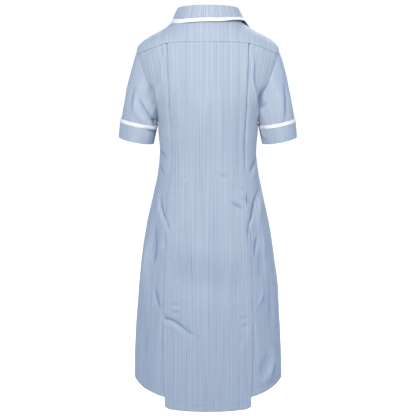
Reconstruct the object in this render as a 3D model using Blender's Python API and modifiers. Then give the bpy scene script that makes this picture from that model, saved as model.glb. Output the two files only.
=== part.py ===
"""Short-sleeved nurse uniform dress, worn and hollow, built from the pieces that its maker sews.

Metres, +Z up. The wearer faces -Y and the wearer's left is +X. The origin is the middle of
the neck opening, level with the points where the shoulders meet the neck.

Every panel is a grid laid on one worn form, given a wall by Solidify. A place on the form is
a bearing (radians round from the centre back, positive to the wearer's left) and a height.
"""

import math
from collections import namedtuple

import bmesh
import bpy
import numpy as np

# ---- Cloth ------------------------------------------------------------------------------
WALL = 0.0012  # cloth wall
TRIM_WALL = 0.0016  # white edging, folded double
SEAM_GAP = 0.0004  # between pieces that are sewn edge to edge
SHOULDER_GAP = 0.0007  # the same on the round of the shoulder, where the inner faces close in
LAYER = WALL + 0.0007  # from one layer of cloth to the next, middle to middle

# ---- The worn form ----------------------------------------------------------------------
Section = namedtuple("Section", "z half_width back_depth front_depth squareness")
BODY = (
    Section(0.006, 0.0700, 0.062, 0.026, 2.00),
    Section(0.002, 0.0775, 0.066, 0.030, 2.00),
    Section(-0.012, 0.0960, 0.077, 0.045, 2.00),
    Section(-0.028, 0.1215, 0.086, 0.058, 2.00),
    Section(-0.043, 0.1500, 0.092, 0.069, 2.00),
    Section(-0.060, 0.1750, 0.098, 0.081, 2.00),
    Section(-0.078, 0.1880, 0.103, 0.092, 2.00),
    Section(-0.100, 0.1910, 0.108, 0.103, 2.05),
    Section(-0.125, 0.1870, 0.112, 0.114, 2.10),
    Section(-0.155, 0.1780, 0.115, 0.124, 2.15),
    Section(-0.185, 0.1640, 0.117, 0.131, 2.20),
    Section(-0.215, 0.1490, 0.117, 0.134, 2.25),
    Section(-0.262, 0.1355, 0.113, 0.133, 2.30),
    Section(-0.300, 0.1340, 0.108, 0.126, 2.30),
    Section(-0.354, 0.1310, 0.104, 0.114, 2.30),
    Section(-0.409, 0.1370, 0.108, 0.112, 2.30),
    Section(-0.476, 0.1510, 0.118, 0.119, 2.25),
    Section(-0.543, 0.1660, 0.130, 0.127, 2.20),
    Section(-0.611, 0.1780, 0.139, 0.133, 2.20),
    Section(-0.679, 0.1870, 0.145, 0.138, 2.20),
    Section(-0.772, 0.1960, 0.152, 0.144, 2.20),
    Section(-0.865, 0.2030, 0.160, 0.150, 2.20),
    Section(-0.940, 0.2065, 0.165, 0.155, 2.20),
    Section(-1.050, 0.2065, 0.170, 0.160, 2.20),
)

# The largest folds of the worn cloth: troughs pressed in, and ridges with a negative depth.
Fold = namedtuple("Fold", "start_bearing start_z end_bearing end_z depth half_width")
FOLDS = (
    Fold(60, -0.165, 76, -0.240, 0.0060, 0.013),  # under the left arm
    Fold(-60, -0.165, -76, -0.240, 0.0060, 0.013),  # under the right arm
    Fold(52, -0.500, 54, -0.680, 0.0050, 0.014),  # down the left hip
    Fold(70, -0.560, 66, -0.760, -0.0035, 0.016),  # beside it
    Fold(-62, -0.450, -42, -0.580, 0.0045, 0.012),  # from the right waist to the seam
    Fold(-52, -0.590, -46, -0.700, 0.0040, 0.012),  # down the right hip
    Fold(30, -0.800, 14, -0.850, 0.0040, 0.014),  # from the top of the left vent
    Fold(-64, -0.900, -44, -0.985, 0.0050, 0.014),  # low on the right side back
    Fold(-52, -0.860, -70, -0.960, -0.0040, 0.014),  # the ridge above it
    Fold(128, -0.380, 136, -0.700, 0.0040, 0.016),  # down the left front
    Fold(-122, -0.400, -132, -0.760, 0.0040, 0.016),  # down the right front
    Fold(-152, -0.560, -150, -0.900, 0.0030, 0.016),  # beside the closing
)
FOLD_RADIUS = 0.14  # turns a fold's bearing into a length round the form

# ---- Seams ------------------------------------------------------------------------------
Place = namedtuple("Place", "at value")
YOKE_SEAM = (  # distance from the centre back, height
    Place(0.0, -0.056),
    Place(0.060, -0.057),
    Place(0.105, -0.0605),
    Place(0.140, -0.0710),
    Place(0.190, -0.0935),
)
PANEL_SEAM = (  # height, distance from the centre back
    Place(-0.050, 0.1050),
    Place(-0.210, 0.0985),
    Place(-0.380, 0.0965),
    Place(-0.450, 0.1070),
    Place(-0.530, 0.1120),
    Place(-0.600, 0.1140),
    Place(-0.680, 0.1180),
    Place(-0.800, 0.1190),
    Place(-0.930, 0.1195),
    Place(-1.050, 0.1160),
)
SIDE_SEAM = (  # height, bearing in degrees
    Place(-0.262, 90.0),
    Place(-0.420, 86.0),
    Place(-0.600, 77.0),
    Place(-0.800, 73.0),
    Place(-1.000, 73.0),
)

# Heights of the rows where the side back meets the centre back, from the yoke to the hem.
UPPER_LEVELS = 10
WAIST_ROWS = (-0.270, -0.305, -0.345, -0.370, -0.395, -0.430, -0.465, -0.500, -0.540)
HIP_ROWS = (-0.580, -0.620, -0.660, -0.700, -0.745, -0.790, -0.806, -0.830, -0.880, -0.940)
UNDERARM_LEVEL = -0.236  # height on the panel seam of the row that starts under the arm
PLEAT_FULL, PLEAT_SHUT, PLEAT_FLAT = -0.345, -0.370, -0.395
VENT_FLAT, VENT_TOP, VENT_FULL = -0.790, -0.806, -0.830
PLEAT_UNDERLAP = 0.020
VENT_UNDERLAP = 0.026
LAP_EDGE = 0.0015  # how far past the panel seam the side back is still fully sunk
RAMP = 0.016  # width over which a side back sinks to pass under the centre back

CENTRE_COLUMNS, SIDE_COLUMNS, FRONT_COLUMNS = 10, 6, 8
YOKE_ROWS = 4
PLEAT_COLUMNS = 2
PLEAT_INSET = 0.0005  # keeps the pleat insert's fold inside the centre back's

SIDE_HEM = -0.986
VENT_HEM = -1.003
CENTRE_HEM = -1.035
HEM_CORNER = 0.006  # how far the centre back's hem corners are rounded up
FRONT_HEM = -0.990
CLOSING_LAP = 0.015  # each front passes the centre front by this much
LAP_END = 1.4 * CLOSING_LAP  # from the centre front, where the under front starts to rise
NECK_LAP_ROWS = 4  # rows over which the fronts' lap grows at the neck

# ---- Neck and armholes ------------------------------------------------------------------
NECK_HALF_WIDTH = 0.0775
NECK_LEVEL = 0.002
NECK_DROP = 0.077  # from the shoulder down to the front of the neck
ARMHOLE_LEVEL, ARMHOLE_HALF_HEIGHT = -0.170, 0.092
ARMHOLE_BACK, ARMHOLE_FRONT = 0.055, 0.060
ARMHOLE_STEP = 15  # degrees between the points of an armhole
YOKE_END, SHOULDER_SEAM = 30, -15  # where the yoke's seams reach the armhole, degrees
SHOULDER_FORWARD = ARMHOLE_FRONT * math.sin(math.radians(-SHOULDER_SEAM))

# ---- Sleeves ----------------------------------------------------------------------------
CUFF_OUTER = (0.2400, 0.0, -0.3130)
CUFF_INNER = (0.1490, 0.0, -0.3310)
CUFF_HALF_DEPTH = 0.0560
SLEEVE_SWELL = 0.0080
SLEEVE_AXIS = (0.962, 0.0, -0.274)  # the way a sleeve leaves the armhole
SLEEVE_ROWS = 6
SLEEVE_ROW_GROWTH = 1.15  # rows lie closer together near the armhole
CUFF_HEIGHT = 0.043
CUFF_TRIM = 0.010
CUFF_LIFT = WALL / 2 + 0.0004 + TRIM_WALL / 2

# ---- Collar -----------------------------------------------------------------------------
CollarPlace = namedtuple("CollarPlace", "along rise bearing z lift")
COLLAR = (  # along: 0 at the centre back, 1 at the centre front; the rest: fold and outer edge
    CollarPlace(0.00, 0.0345, 0.0, -0.0080, 0.0070),
    CollarPlace(0.22, 0.0325, 42.0, -0.0095, 0.0065),
    CollarPlace(0.43, 0.0255, 88.0, -0.0115, 0.0045),
    CollarPlace(0.65, 0.0150, 140.0, -0.0560, 0.0045),
    CollarPlace(0.85, 0.0080, 158.0, -0.1020, 0.0045),
    CollarPlace(1.00, 0.0060, 163.0, -0.1250, 0.0045),
)
SHOULDER_ALONG = 0.43  # where the neckline passes the shoulder
COLLAR_END = 0.965
FOLD_ROLL = 0.0021  # radius of the collar's roll line
STAND_START = 0.0022
COLLAR_TRIM = 0.010
COLLAR_HALF = 0.13  # length of the collar's half, which turns a length into a share of it
COLLAR_STEPS = 12
STAND_SHARES = (0.0, 0.5, 1.0)
ROLL_DEGREES = (60.0, 120.0)
FALL_SHARES = (0.0, 0.33, 0.66, 1.0)
FRONT_END_SHARES = (0.75, 0.5, 0.25, 0.04)
UP = np.array((0.0, 0.0, 1.0))

# ---- Buttons ----------------------------------------------------------------------------
BUTTON_RADIUS, BUTTON_THICKNESS = 0.0070, 0.0026
BUTTON_COUNT = 8
BUTTON_SEGMENTS = 12
BUTTON_TAPER = 0.9  # its back's radius as a share of its face's

Finish = namedtuple("Finish", "name color roughness metallic")
BLUE_STRIPE = Finish("blue_stripe_cloth", (0.47, 0.55, 0.70, 1.0), 0.85, 0.0)
WHITE_EDGING = Finish("white_edging", (0.93, 0.94, 0.96, 1.0), 0.80, 0.0)
WHITE_BUTTON = Finish("white_button", (0.88, 0.90, 0.93, 1.0), 0.35, 0.0)
COLLECTION = "nurse_uniform_dress"


def smooth_curve(levels, values):
    """A smooth function through the given values at the given levels; arrays are welcome."""
    order = np.argsort(levels)
    x = np.asarray(levels, float)[order]
    y = np.asarray(values, float)[order]
    slopes = np.gradient(y, x)

    def value(at):
        at = np.clip(at, x[0], x[-1])
        i = np.clip(np.searchsorted(x, at) - 1, 0, len(x) - 2)
        step = x[i + 1] - x[i]
        t = (at - x[i]) / step
        start = (1 + 2 * t) * (1 - t) ** 2 * y[i] + t * (1 - t) ** 2 * step * slopes[i]
        end = t * t * (3 - 2 * t) * y[i + 1] + t * t * (t - 1) * step * slopes[i + 1]
        return start + end

    return value


def column_curve(rows, key, column):
    return smooth_curve([getattr(r, key) for r in rows], [getattr(r, column) for r in rows])


half_width = column_curve(BODY, "z", "half_width")
back_depth = column_curve(BODY, "z", "back_depth")
front_depth = column_curve(BODY, "z", "front_depth")
squareness = column_curve(BODY, "z", "squareness")
yoke_seam_z = column_curve(YOKE_SEAM, "at", "value")
panel_seam_x = column_curve(PANEL_SEAM, "at", "value")
side_seam_degrees = column_curve(SIDE_SEAM, "at", "value")


def smooth_step(value, start, end):
    t = np.clip((value - start) / (end - start), 0.0, 1.0)
    return t * t * (3 - 2 * t)


def signed_power(value, power):
    return np.sign(value) * np.abs(value) ** power


def form_point(bearing, z):
    """The smooth form, without folds, at a bearing and height."""
    power = 2 / squareness(z)
    depth = np.where(np.cos(bearing) > 0, back_depth(z), front_depth(z))
    x = half_width(z) * signed_power(np.sin(bearing), power)
    y = depth * signed_power(np.cos(bearing), power)
    return np.stack([x, y, z + 0 * x], axis=-1)


def form_normal(bearing, z):
    """Unit outward normals of the smooth form."""
    turn, rise = 0.02, 0.002
    across = form_point(bearing + turn, z) - form_point(bearing - turn, z)
    up = form_point(bearing, z + rise) - form_point(bearing, z - rise)
    normal = np.cross(up, across)
    return normal / np.linalg.norm(normal, axis=-1, keepdims=True)


def fold_depth(bearing, z):
    """How far the folds press the cloth in at a bearing and height."""
    pressed = np.zeros(np.shape(bearing))
    for fold in FOLDS:
        start = np.array([math.radians(fold.start_bearing) * FOLD_RADIUS, fold.start_z])
        run = np.array([math.radians(fold.end_bearing) * FOLD_RADIUS, fold.end_z]) - start
        off = np.stack([bearing * FOLD_RADIUS, z], axis=-1) - start
        along = np.clip(off @ run / (run @ run), 0.0, 1.0)
        distance = np.linalg.norm(off - along[..., None] * run, axis=-1)
        pressed += fold.depth * np.exp(-((distance / fold.half_width) ** 2))
    return pressed


def worn_point(bearing, z, lift=0.0):
    """The folded cloth's middle at a bearing and height, moved out by a lift."""
    out = np.asarray(lift - fold_depth(bearing, z))
    return form_point(bearing, z) + out[..., None] * form_normal(bearing, z)


def bearing_at(x, z, front=False):
    """The bearing on one half of the form where it is x metres from the centre plane."""
    share = np.clip(np.abs(x) / half_width(z), 0.0, 1.0)
    angle = np.arcsin(share ** (squareness(z) / 2))
    return np.sign(x) * (math.pi - angle if front else angle)


# ---- Edges of the panels, for the wearer's left; each gives bearings and heights ----------
def armhole(degrees):
    """The armhole at degrees round it: 0 at the shoulder, 90 at the back, 180 underarm."""
    turn = np.radians(degrees)
    z = ARMHOLE_LEVEL + ARMHOLE_HALF_HEIGHT * np.cos(turn)
    reach = np.sin(turn)
    y = np.abs(reach) * np.where(reach > 0, ARMHOLE_BACK, ARMHOLE_FRONT)
    depth = np.where(reach > 0, back_depth(z), front_depth(z))
    angle = np.arccos((y / depth) ** (squareness(z) / 2))
    return np.where(reach > 0, angle, math.pi - angle), z


def neckline_back(plan_bearing):
    """The neckline behind the shoulders, toward a bearing in plan."""
    z = NECK_LEVEL + 0 * plan_bearing
    ratio = np.abs(np.tan(plan_bearing)) * back_depth(z) / half_width(z)
    angle = np.arctan(ratio ** (squareness(z) / 2))
    return np.sign(plan_bearing) * angle, z


def neckline_front(quarter):
    """The neckline from the shoulder, 0, to the centre front, pi / 2."""
    z = NECK_LEVEL - NECK_DROP * np.sin(quarter)
    x = NECK_HALF_WIDTH * np.cos(quarter)
    return bearing_at(x + 1e-9, z, front=True), z


def shoulder_seam(count):
    """The seam just in front of the shoulder's ridge, from the neck to the armhole."""
    quarter = neck_quarter_at_shoulder_seam()
    z = np.linspace(neckline_front(quarter)[1], armhole(SHOULDER_SEAM)[1], count)
    share = (SHOULDER_FORWARD / front_depth(z)) ** (squareness(z) / 2)
    return math.pi - np.arccos(share), z


def neck_quarter_at_shoulder_seam():
    """Where round the front of the neck the shoulder seam starts."""
    quarters = np.linspace(0.0, 0.8, 200)
    bearings, z = neckline_front(quarters)
    forward = -form_point(bearings, z)[:, 1]
    return float(np.interp(SHOULDER_FORWARD, forward, quarters))


def seam_levels():
    """Heights of every row on the panel seam, from the yoke to the hem."""
    top = float(yoke_seam_z(panel_seam_x(-0.06)))
    upper = np.linspace(top, UNDERARM_LEVEL, UPPER_LEVELS + 1)
    return np.concatenate([upper, WAIST_ROWS, HIP_ROWS, [VENT_HEM]])


def lower_levels(top, hem):
    """Heights of the rows on a side seam, from the underarm to the hem."""
    return np.linspace(top, hem, len(WAIST_ROWS) + len(HIP_ROWS) + 2)


def side_seam():
    z = lower_levels(armhole(180)[1], SIDE_HEM)
    return np.radians(side_seam_degrees(z)), z


# ---- Laps -------------------------------------------------------------------------------
def lap_depth(z):
    """How far a side back sinks beside the panel seam: two layers at a pleat, one at a vent."""
    pleat = smooth_step(z, PLEAT_FLAT, PLEAT_SHUT)
    vent = smooth_step(z, VENT_FLAT, VENT_TOP)
    return LAYER * (2 * pleat + vent)


def underlap(z):
    """How far a side back passes under the centre back."""
    pleat = PLEAT_UNDERLAP * smooth_step(z, PLEAT_SHUT, PLEAT_FULL)
    vent = VENT_UNDERLAP * smooth_step(z, VENT_TOP, VENT_FULL)
    return pleat + vent


def side_back_lift(bearing, z):
    beyond = np.abs(form_point(bearing, z)[..., 0]) - panel_seam_x(z)
    return -lap_depth(z) * (1 - smooth_step(beyond, LAP_EDGE, RAMP))


# ---- Grids of points --------------------------------------------------------------------
def between(left, right, shares, top=None, fade_rows=0):
    """Bearings and heights of a grid between two edges; a top edge given fades out below.

    The shares of the way across are one row for both, or a pair of grids, one for each.
    """
    pair = shares if isinstance(shares, tuple) else (shares, shares)
    grids = []
    for axis, share in enumerate(pair):
        a, b = np.asarray(left[axis])[:, None], np.asarray(right[axis])[:, None]
        grid = a + (b - a) * share
        if top is not None:
            fade = np.clip(1 - np.arange(len(grid)) / fade_rows, 0.0, 1.0)[:, None]
            grid = grid + fade * (top[axis] - grid[0])
        grids.append(grid)
    return grids


def even_shares(columns):
    return np.linspace(0.0, 1.0, columns + 1)


def draw_in(points, top=SEAM_GAP / 2, ends=SEAM_GAP / 2):
    """Moves a grid's border toward its inside, which leaves the gap of a seam."""
    points = points.copy()
    for edge, inner, amount in (
        (points[0], points[1], top),
        (points[-1], points[-2], SEAM_GAP / 2),
        (points[:, 0], points[:, 1], ends),
        (points[:, -1], points[:, -2], ends),
    ):
        run = inner - edge
        edge += amount * run / np.linalg.norm(run, axis=-1, keepdims=True)
    return points


def mirrored(points):
    return points * (-1.0, 1.0, 1.0)


# ---- Objects ----------------------------------------------------------------------------
def finish_material(finish):
    material = bpy.data.materials.get(finish.name)
    if material is None:
        material = bpy.data.materials.new(finish.name)
        material.use_nodes = True
        shader = material.node_tree.nodes["Principled BSDF"]
        shader.inputs["Base Color"].default_value = finish.color
        shader.inputs["Roughness"].default_value = finish.roughness
        shader.inputs["Metallic"].default_value = finish.metallic
    return material


def add_object(name, bm, finish):
    mesh = bpy.data.meshes.new(name)
    bmesh.ops.recalc_face_normals(bm, faces=bm.faces)
    bm.to_mesh(mesh)
    bm.free()
    mesh.materials.append(finish_material(finish))
    piece = bpy.data.objects.new(name, mesh)
    bpy.data.collections[COLLECTION].objects.link(piece)
    return piece


def add_cloth(name, points, finish=BLUE_STRIPE, wall=WALL, tube=False):
    """A wall of cloth about a grid of points; a tube's first and last columns are one."""
    rows, columns = len(points) - 1, len(points[0]) - 1
    bm = bmesh.new()
    bmesh.ops.create_grid(bm, x_segments=columns, y_segments=rows, size=0.5)
    for vert in bm.verts:
        column = round((vert.co.x + 0.5) * columns)
        row = round((0.5 - vert.co.y) * rows)
        vert.co = points[row][column]
    if tube:
        bmesh.ops.remove_doubles(bm, verts=bm.verts, dist=1e-6)
    piece = add_object(name, bm, finish)
    solidify = piece.modifiers.new("wall", "SOLIDIFY")
    solidify.thickness = wall
    solidify.offset = 0.0
    return piece


# ---- Back and yoke ----------------------------------------------------------------------
def side_back_top():
    """The yoke seam over one side back, from just past the panel seam to the armhole."""
    z_start = seam_levels()[0]
    start = panel_seam_x(z_start)
    end, z_end = armhole(YOKE_END)
    x_end = form_point(end, z_end)[0]
    x = np.concatenate([[start + LAP_EDGE], np.linspace(start + RAMP, x_end, SIDE_COLUMNS - 1)])
    z = yoke_seam_z(x)
    z[-1] = z_end
    return np.append(bearing_at(x[:-1], z[:-1]), end), z


def centre_back_top():
    """The yoke seam over the centre back, from right to left."""
    z_end = seam_levels()[0]
    x = np.linspace(-1.0, 1.0, CENTRE_COLUMNS + 1) * panel_seam_x(z_end)
    z = yoke_seam_z(np.abs(x))
    z[0] = z[-1] = z_end
    return bearing_at(x, z), z


def build_yoke():
    """The yoke runs from one shoulder seam round the back of the neck to the other."""
    side = side_back_top()
    centre = centre_back_top()
    degrees = np.arange(YOKE_END, SHOULDER_SEAM - 1, -ARMHOLE_STEP)[1:]
    arm = armhole(degrees)
    left = [np.concatenate([side[i][1:], arm[i]]) for i in range(2)]
    outer_bearing = np.concatenate([-left[0][::-1], centre[0], left[0]])
    outer_z = np.concatenate([left[1][::-1], centre[1], left[1]])
    outer = form_point(outer_bearing, outer_z)
    plan = np.arctan2(outer[:, 0], outer[:, 1])
    inner_bearing, inner_z = neckline_back(np.clip(plan, -math.pi / 2, math.pi / 2))
    front_bearing, front_z = neckline_front(neck_quarter_at_shoulder_seam())
    inner_bearing[0], inner_bearing[-1] = -front_bearing, front_bearing
    inner_z[0] = inner_z[-1] = front_z
    share = np.linspace(0.0, 1.0, YOKE_ROWS + 1)[:, None]
    bearing = inner_bearing + (outer_bearing - inner_bearing) * share
    z = inner_z + (outer_z - inner_z) * share
    seam = shoulder_seam(YOKE_ROWS + 1)
    bearing[:, 0], bearing[:, -1] = -seam[0], seam[0]
    z[:, 0] = z[:, -1] = seam[1]
    add_cloth("back_yoke", draw_in(worn_point(bearing, z), ends=SHOULDER_GAP / 2))


def build_centre_back():
    levels = seam_levels()
    levels[-1] = CENTRE_HEM
    seam = bearing_at(panel_seam_x(levels), levels)
    shares = even_shares(CENTRE_COLUMNS)
    top = centre_back_top()
    bearing, z = between((-seam, levels), (seam, levels), shares, top, UPPER_LEVELS)
    z[-1, [0, -1]] += HEM_CORNER
    add_cloth("back_centre", draw_in(worn_point(bearing, z)))


def build_side_backs():
    """Each side back, from its edge under the centre back to the armhole and side seam."""
    levels = seam_levels()
    seam_x = panel_seam_x(levels)
    inner = bearing_at(seam_x - underlap(levels), levels)
    degrees = np.linspace(YOKE_END, 180, UPPER_LEVELS + 1)
    arm, side = armhole(degrees), side_seam()
    outer = [np.concatenate([arm[i][:-1], side[i]]) for i in range(2)]
    span = outer[0] - inner
    lap = ((bearing_at(seam_x + LAP_EDGE, levels) - inner) / span)[:, None]
    ramp = ((bearing_at(seam_x + RAMP, levels) - inner) / span)[:, None]
    rest = ramp + (1 - ramp) * even_shares(SIDE_COLUMNS - 2)
    across = np.concatenate([0 * lap, lap, rest], axis=1)
    down = np.clip((across - lap) / (1 - lap), 0.0, 1.0)
    top = [np.append(first, rest) for first, rest in zip((inner[0], levels[0]), side_back_top())]
    bearing, z = between((inner, levels), outer, (across, down), top, UPPER_LEVELS)
    for name, sign in (("back_side_left", 1), ("back_side_right", -1)):
        add_cloth(name, draw_in(worn_point(sign * bearing, z, side_back_lift(bearing, z))))


def build_pleat_inserts():
    """The strip that joins the centre back's folded edge to the side back below it."""
    levels = seam_levels()
    levels = levels[levels > PLEAT_SHUT + PLEAT_INSET]
    outer_x = panel_seam_x(levels) - PLEAT_INSET
    inner_x = panel_seam_x(levels) - PLEAT_UNDERLAP
    outer = bearing_at(outer_x, levels)
    inner = bearing_at(inner_x, levels)
    bearing, z = between((inner, levels), (outer, levels), even_shares(PLEAT_COLUMNS))
    for name, side in (("back_pleat_left", 1), ("back_pleat_right", -1)):
        lift = np.full(bearing.shape, -LAYER)
        add_cloth(name, draw_in(worn_point(side * bearing, z, lift)))


# ---- Fronts -----------------------------------------------------------------------------
def build_fronts():
    """Each front: neckline and closing edge on one side, armhole and side seam on the other."""
    first = neck_quarter_at_shoulder_seam()
    degrees = np.arange(360 + SHOULDER_SEAM, 179, -ARMHOLE_STEP)
    steps = len(degrees) - 1
    arm, side = armhole(degrees), side_seam()
    outer = [np.concatenate([arm[i][:-1], side[i]]) for i in range(2)]
    quarter = np.linspace(first, math.pi / 2, steps + 1)
    neck_bearing, neck_z = neckline_front(quarter)
    level = closing_levels()
    lap = smooth_step(np.arange(len(neck_z)), steps - NECK_LAP_ROWS, steps) * CLOSING_LAP
    neck_bearing = neck_bearing + lap / half_width(neck_z)
    closing = math.pi + CLOSING_LAP / half_width(level)
    inner = [np.concatenate([neck_bearing[:-1], closing]), np.concatenate([neck_z[:-1], level])]
    top = shoulder_seam(FRONT_COLUMNS + 1)
    shares = closing_shares(inner, outer)
    bearing, z = between(inner, outer, shares, top, steps)
    for name, sign, depth in (("front_left", 1, LAYER), ("front_right", -1, 0.0)):
        across = np.abs(form_point(bearing, z)[..., 0])
        near = 1 - smooth_step(across, LAP_END, LAP_END + RAMP)
        points = worn_point(sign * bearing, z, -depth * near)
        add_cloth(name, draw_in(points, top=SHOULDER_GAP / 2))


def closing_levels():
    """Heights of the rows down the closing, from the front of the neck to the hem."""
    return lower_levels(neckline_front(math.pi / 2)[1], FRONT_HEM)


def closing_shares(inner, outer):
    """Shares across a front, with level columns at the lap's edge, its middle and its end."""
    span = np.abs(inner[0] - outer[0])
    step = np.minimum(CLOSING_LAP / half_width(inner[1]), span / FRONT_COLUMNS)
    lap = (2 * step / span)[:, None]
    rest = lap + (1 - lap) * even_shares(FRONT_COLUMNS - 2)
    across = np.concatenate([0 * lap, lap / 2, rest], axis=1)
    down = np.clip((across - lap) / (1 - lap), 0.0, 1.0)
    return across, down


def build_buttons():
    """Buttons down the closing of the right front, one on every second row of its cloth."""
    levels = closing_levels()
    middle = worn_point(np.full(len(levels), math.pi), levels)
    normal = form_normal(np.full(len(levels), math.pi), levels)
    for number in range(BUTTON_COUNT):
        row = 2 * number + 1
        hollow = sum((middle[k] - middle[row]) @ normal[row] for k in (row - 1, row + 1)) / 2
        clear = max(0.0, hollow) * BUTTON_RADIUS / (levels[row - 1] - levels[row])
        lift = WALL / 2 + SEAM_GAP + clear + BUTTON_THICKNESS / 2
        bm = bmesh.new()
        bmesh.ops.create_cone(
            bm,
            cap_ends=True,
            segments=BUTTON_SEGMENTS,
            radius1=BUTTON_RADIUS,
            radius2=BUTTON_RADIUS * BUTTON_TAPER,
            depth=BUTTON_THICKNESS,
        )
        button = add_object(f"button_{number + 1}", bm, WHITE_BUTTON)
        button.location = middle[row] + lift * normal[row]
        button.rotation_euler = (math.pi / 2 - math.atan2(normal[row][2], -normal[row][1]), 0, 0)


# ---- Sleeves ----------------------------------------------------------------------------
def sleeve_point(down, degrees):
    """The sleeve's middle: down 0 at the armhole and 1 at the hem, degrees round as armhole."""
    bearing, z = armhole(np.mod(degrees + 90, 360) - 90)
    start = form_point(bearing, z)
    turn = np.radians(degrees)
    under = ((1 - np.cos(turn)) / 2) ** 2
    away = SHOULDER_GAP + (WALL + SEAM_GAP) * under
    start = start + away[..., None] * np.array(SLEEVE_AXIS)
    outer, inner = np.array(CUFF_OUTER), np.array(CUFF_INNER)
    middle, radius = (outer + inner) / 2, (outer - inner) / 2
    round_the_arm = np.sin(turn)[..., None] * np.array((0.0, CUFF_HALF_DEPTH, 0.0))
    end = middle + np.cos(turn)[..., None] * radius + round_the_arm
    down = np.asarray(down)
    swell = SLEEVE_SWELL * (1 - (1 - down) ** 6) * (1 - down**4)
    outward = np.cos(turn) * 0.5 + 0.5
    sideways = np.stack([outward, 0.7 * np.sin(turn), 0 * turn], axis=-1)
    return start + (end - start) * down[..., None] + swell[..., None] * sideways


def sleeve_normal(down, degrees):
    low, high = np.clip(down - 0.02, 0, 1), np.clip(down + 0.02, 0, 1)
    along = sleeve_point(high, degrees) - sleeve_point(low, degrees)
    across = sleeve_point(down, degrees + 2.0) - sleeve_point(down, degrees - 2.0)
    normal = np.cross(along, across)
    return normal / np.linalg.norm(normal, axis=-1, keepdims=True)


def sleeve_length(degrees):
    """Length of the sleeve from armhole to hem along each line round it."""
    stations = np.linspace(0.0, 1.0, 13)[:, None] + 0 * degrees
    line = sleeve_point(stations, degrees + 0 * stations)
    return np.linalg.norm(np.diff(line, axis=0), axis=-1).sum(axis=0)


def around_sleeve():
    return np.arange(0.0, 361.0, ARMHOLE_STEP)


def build_sleeves():
    degrees = around_sleeve()
    rows = np.linspace(0.0, 1.0, SLEEVE_ROWS + 1)[:, None]
    down = rows**SLEEVE_ROW_GROWTH + 0 * degrees
    points = sleeve_point(down, degrees + 0 * down)
    add_cloth("sleeve_left", points, tube=True)
    add_cloth("sleeve_right", mirrored(points), tube=True)


def sleeve_band(name, low, high, rows, finish, wall):
    """A band round both sleeves between two heights above the hem, lying on the cloth."""
    degrees = around_sleeve()
    height = np.linspace(high, low, rows + 1)[:, None]
    down = 1.0 - height / sleeve_length(degrees)
    normal = sleeve_normal(down, degrees + 0 * down)
    points = sleeve_point(down, degrees + 0 * down) + CUFF_LIFT * normal
    add_cloth(f"{name}_left", points, finish, wall, tube=True)
    add_cloth(f"{name}_right", mirrored(points), finish, wall, tube=True)


def build_cuffs():
    sleeve_band("cuff", 0.0, CUFF_HEIGHT, 3, BLUE_STRIPE, WALL)
    low = CUFF_HEIGHT + SEAM_GAP
    sleeve_band("cuff_trim", low, low + CUFF_TRIM, 1, WHITE_EDGING, TRIM_WALL)


# ---- Collar -----------------------------------------------------------------------------
fold_rise = column_curve(COLLAR, "along", "rise")
edge_bearing = column_curve(COLLAR, "along", "bearing")
edge_z = column_curve(COLLAR, "along", "z")
edge_lift = column_curve(COLLAR, "along", "lift")


def neckline(along):
    """The neckline from the centre back, 0, to the centre front, 1."""
    behind = np.clip(along / SHOULDER_ALONG, 0.0, 1.0) * math.pi / 2
    ahead = np.clip((along - SHOULDER_ALONG) / (1 - SHOULDER_ALONG), 0.0, 1.0) * math.pi / 2
    back, front = neckline_back(behind * 0.9999), neckline_front(ahead)
    in_front = along > SHOULDER_ALONG
    return np.where(in_front, front[0], back[0]), np.where(in_front, front[1], back[1])


def collar_parts(along):
    """The neck seam, outward direction and fold height of the collar at places along it."""
    bearing, z = neckline(along)
    seam = form_point(bearing, z)
    outward = form_normal(bearing, z) * (1.0, 1.0, 0.0)
    outward = outward / np.linalg.norm(outward, axis=-1, keepdims=True)
    return seam, outward, fold_rise(along)


def collar_stand(along, up):
    """The stand, from the neck seam, 0, to the start of the roll, 1."""
    seam, _, rise = collar_parts(along)
    height = STAND_START + (rise - FOLD_ROLL - STAND_START) * up
    return seam + height[..., None] * UP


def collar_roll(along, turn):
    """The roll over the top, from the stand, 0, to the fall, pi."""
    seam, outward, rise = collar_parts(along)
    top = seam + (rise - FOLD_ROLL)[..., None] * UP
    out = FOLD_ROLL * (1 - np.cos(turn))
    up = FOLD_ROLL * np.sin(turn)
    return top + out[..., None] * outward + up[..., None] * UP


def collar_fall(along, down):
    """The fall, from the roll, 0, to the outer edge, 1."""
    bearing, z = neckline(along)
    _, outward, rise = collar_parts(along)
    edge = np.radians(edge_bearing(along))
    place = bearing + (edge - bearing) * down
    height = z + (edge_z(along) - z) * down
    raised = (rise - FOLD_ROLL) * (1 - down)
    rolled = 2 * FOLD_ROLL * (1 - down)
    out = edge_lift(along) * down
    point = form_point(place, height) + out[..., None] * form_normal(place, height)
    return point + raised[..., None] * UP + rolled[..., None] * outward


def fall_length(along):
    ends = collar_fall(along, 1.0 + 0 * along) - collar_fall(along, 0 * along)
    return np.linalg.norm(ends, axis=-1)


def both_sides(points):
    """A grid that starts at the centre back, carried on to the other side as its mirror."""
    return np.concatenate([mirrored(points[:, :0:-1]), points], axis=1)


def collar_along(end):
    return np.linspace(0.0, end, COLLAR_STEPS + 1)[None, :]


def build_collar():
    along = collar_along(COLLAR_END - COLLAR_TRIM / COLLAR_HALF)
    low = 1 - (COLLAR_TRIM + SHOULDER_GAP) / fall_length(along)
    up = np.array(STAND_SHARES)[:, None] + 0 * along
    turn = np.radians(ROLL_DEGREES)[:, None] + 0 * along
    down = np.array(FALL_SHARES)[:, None] * low
    grid = np.concatenate(
        [
            collar_stand(along + 0 * up, up),
            collar_roll(along + 0 * turn, turn),
            collar_fall(along + 0 * down, down),
        ]
    )
    add_cloth("collar", both_sides(grid))


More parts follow.
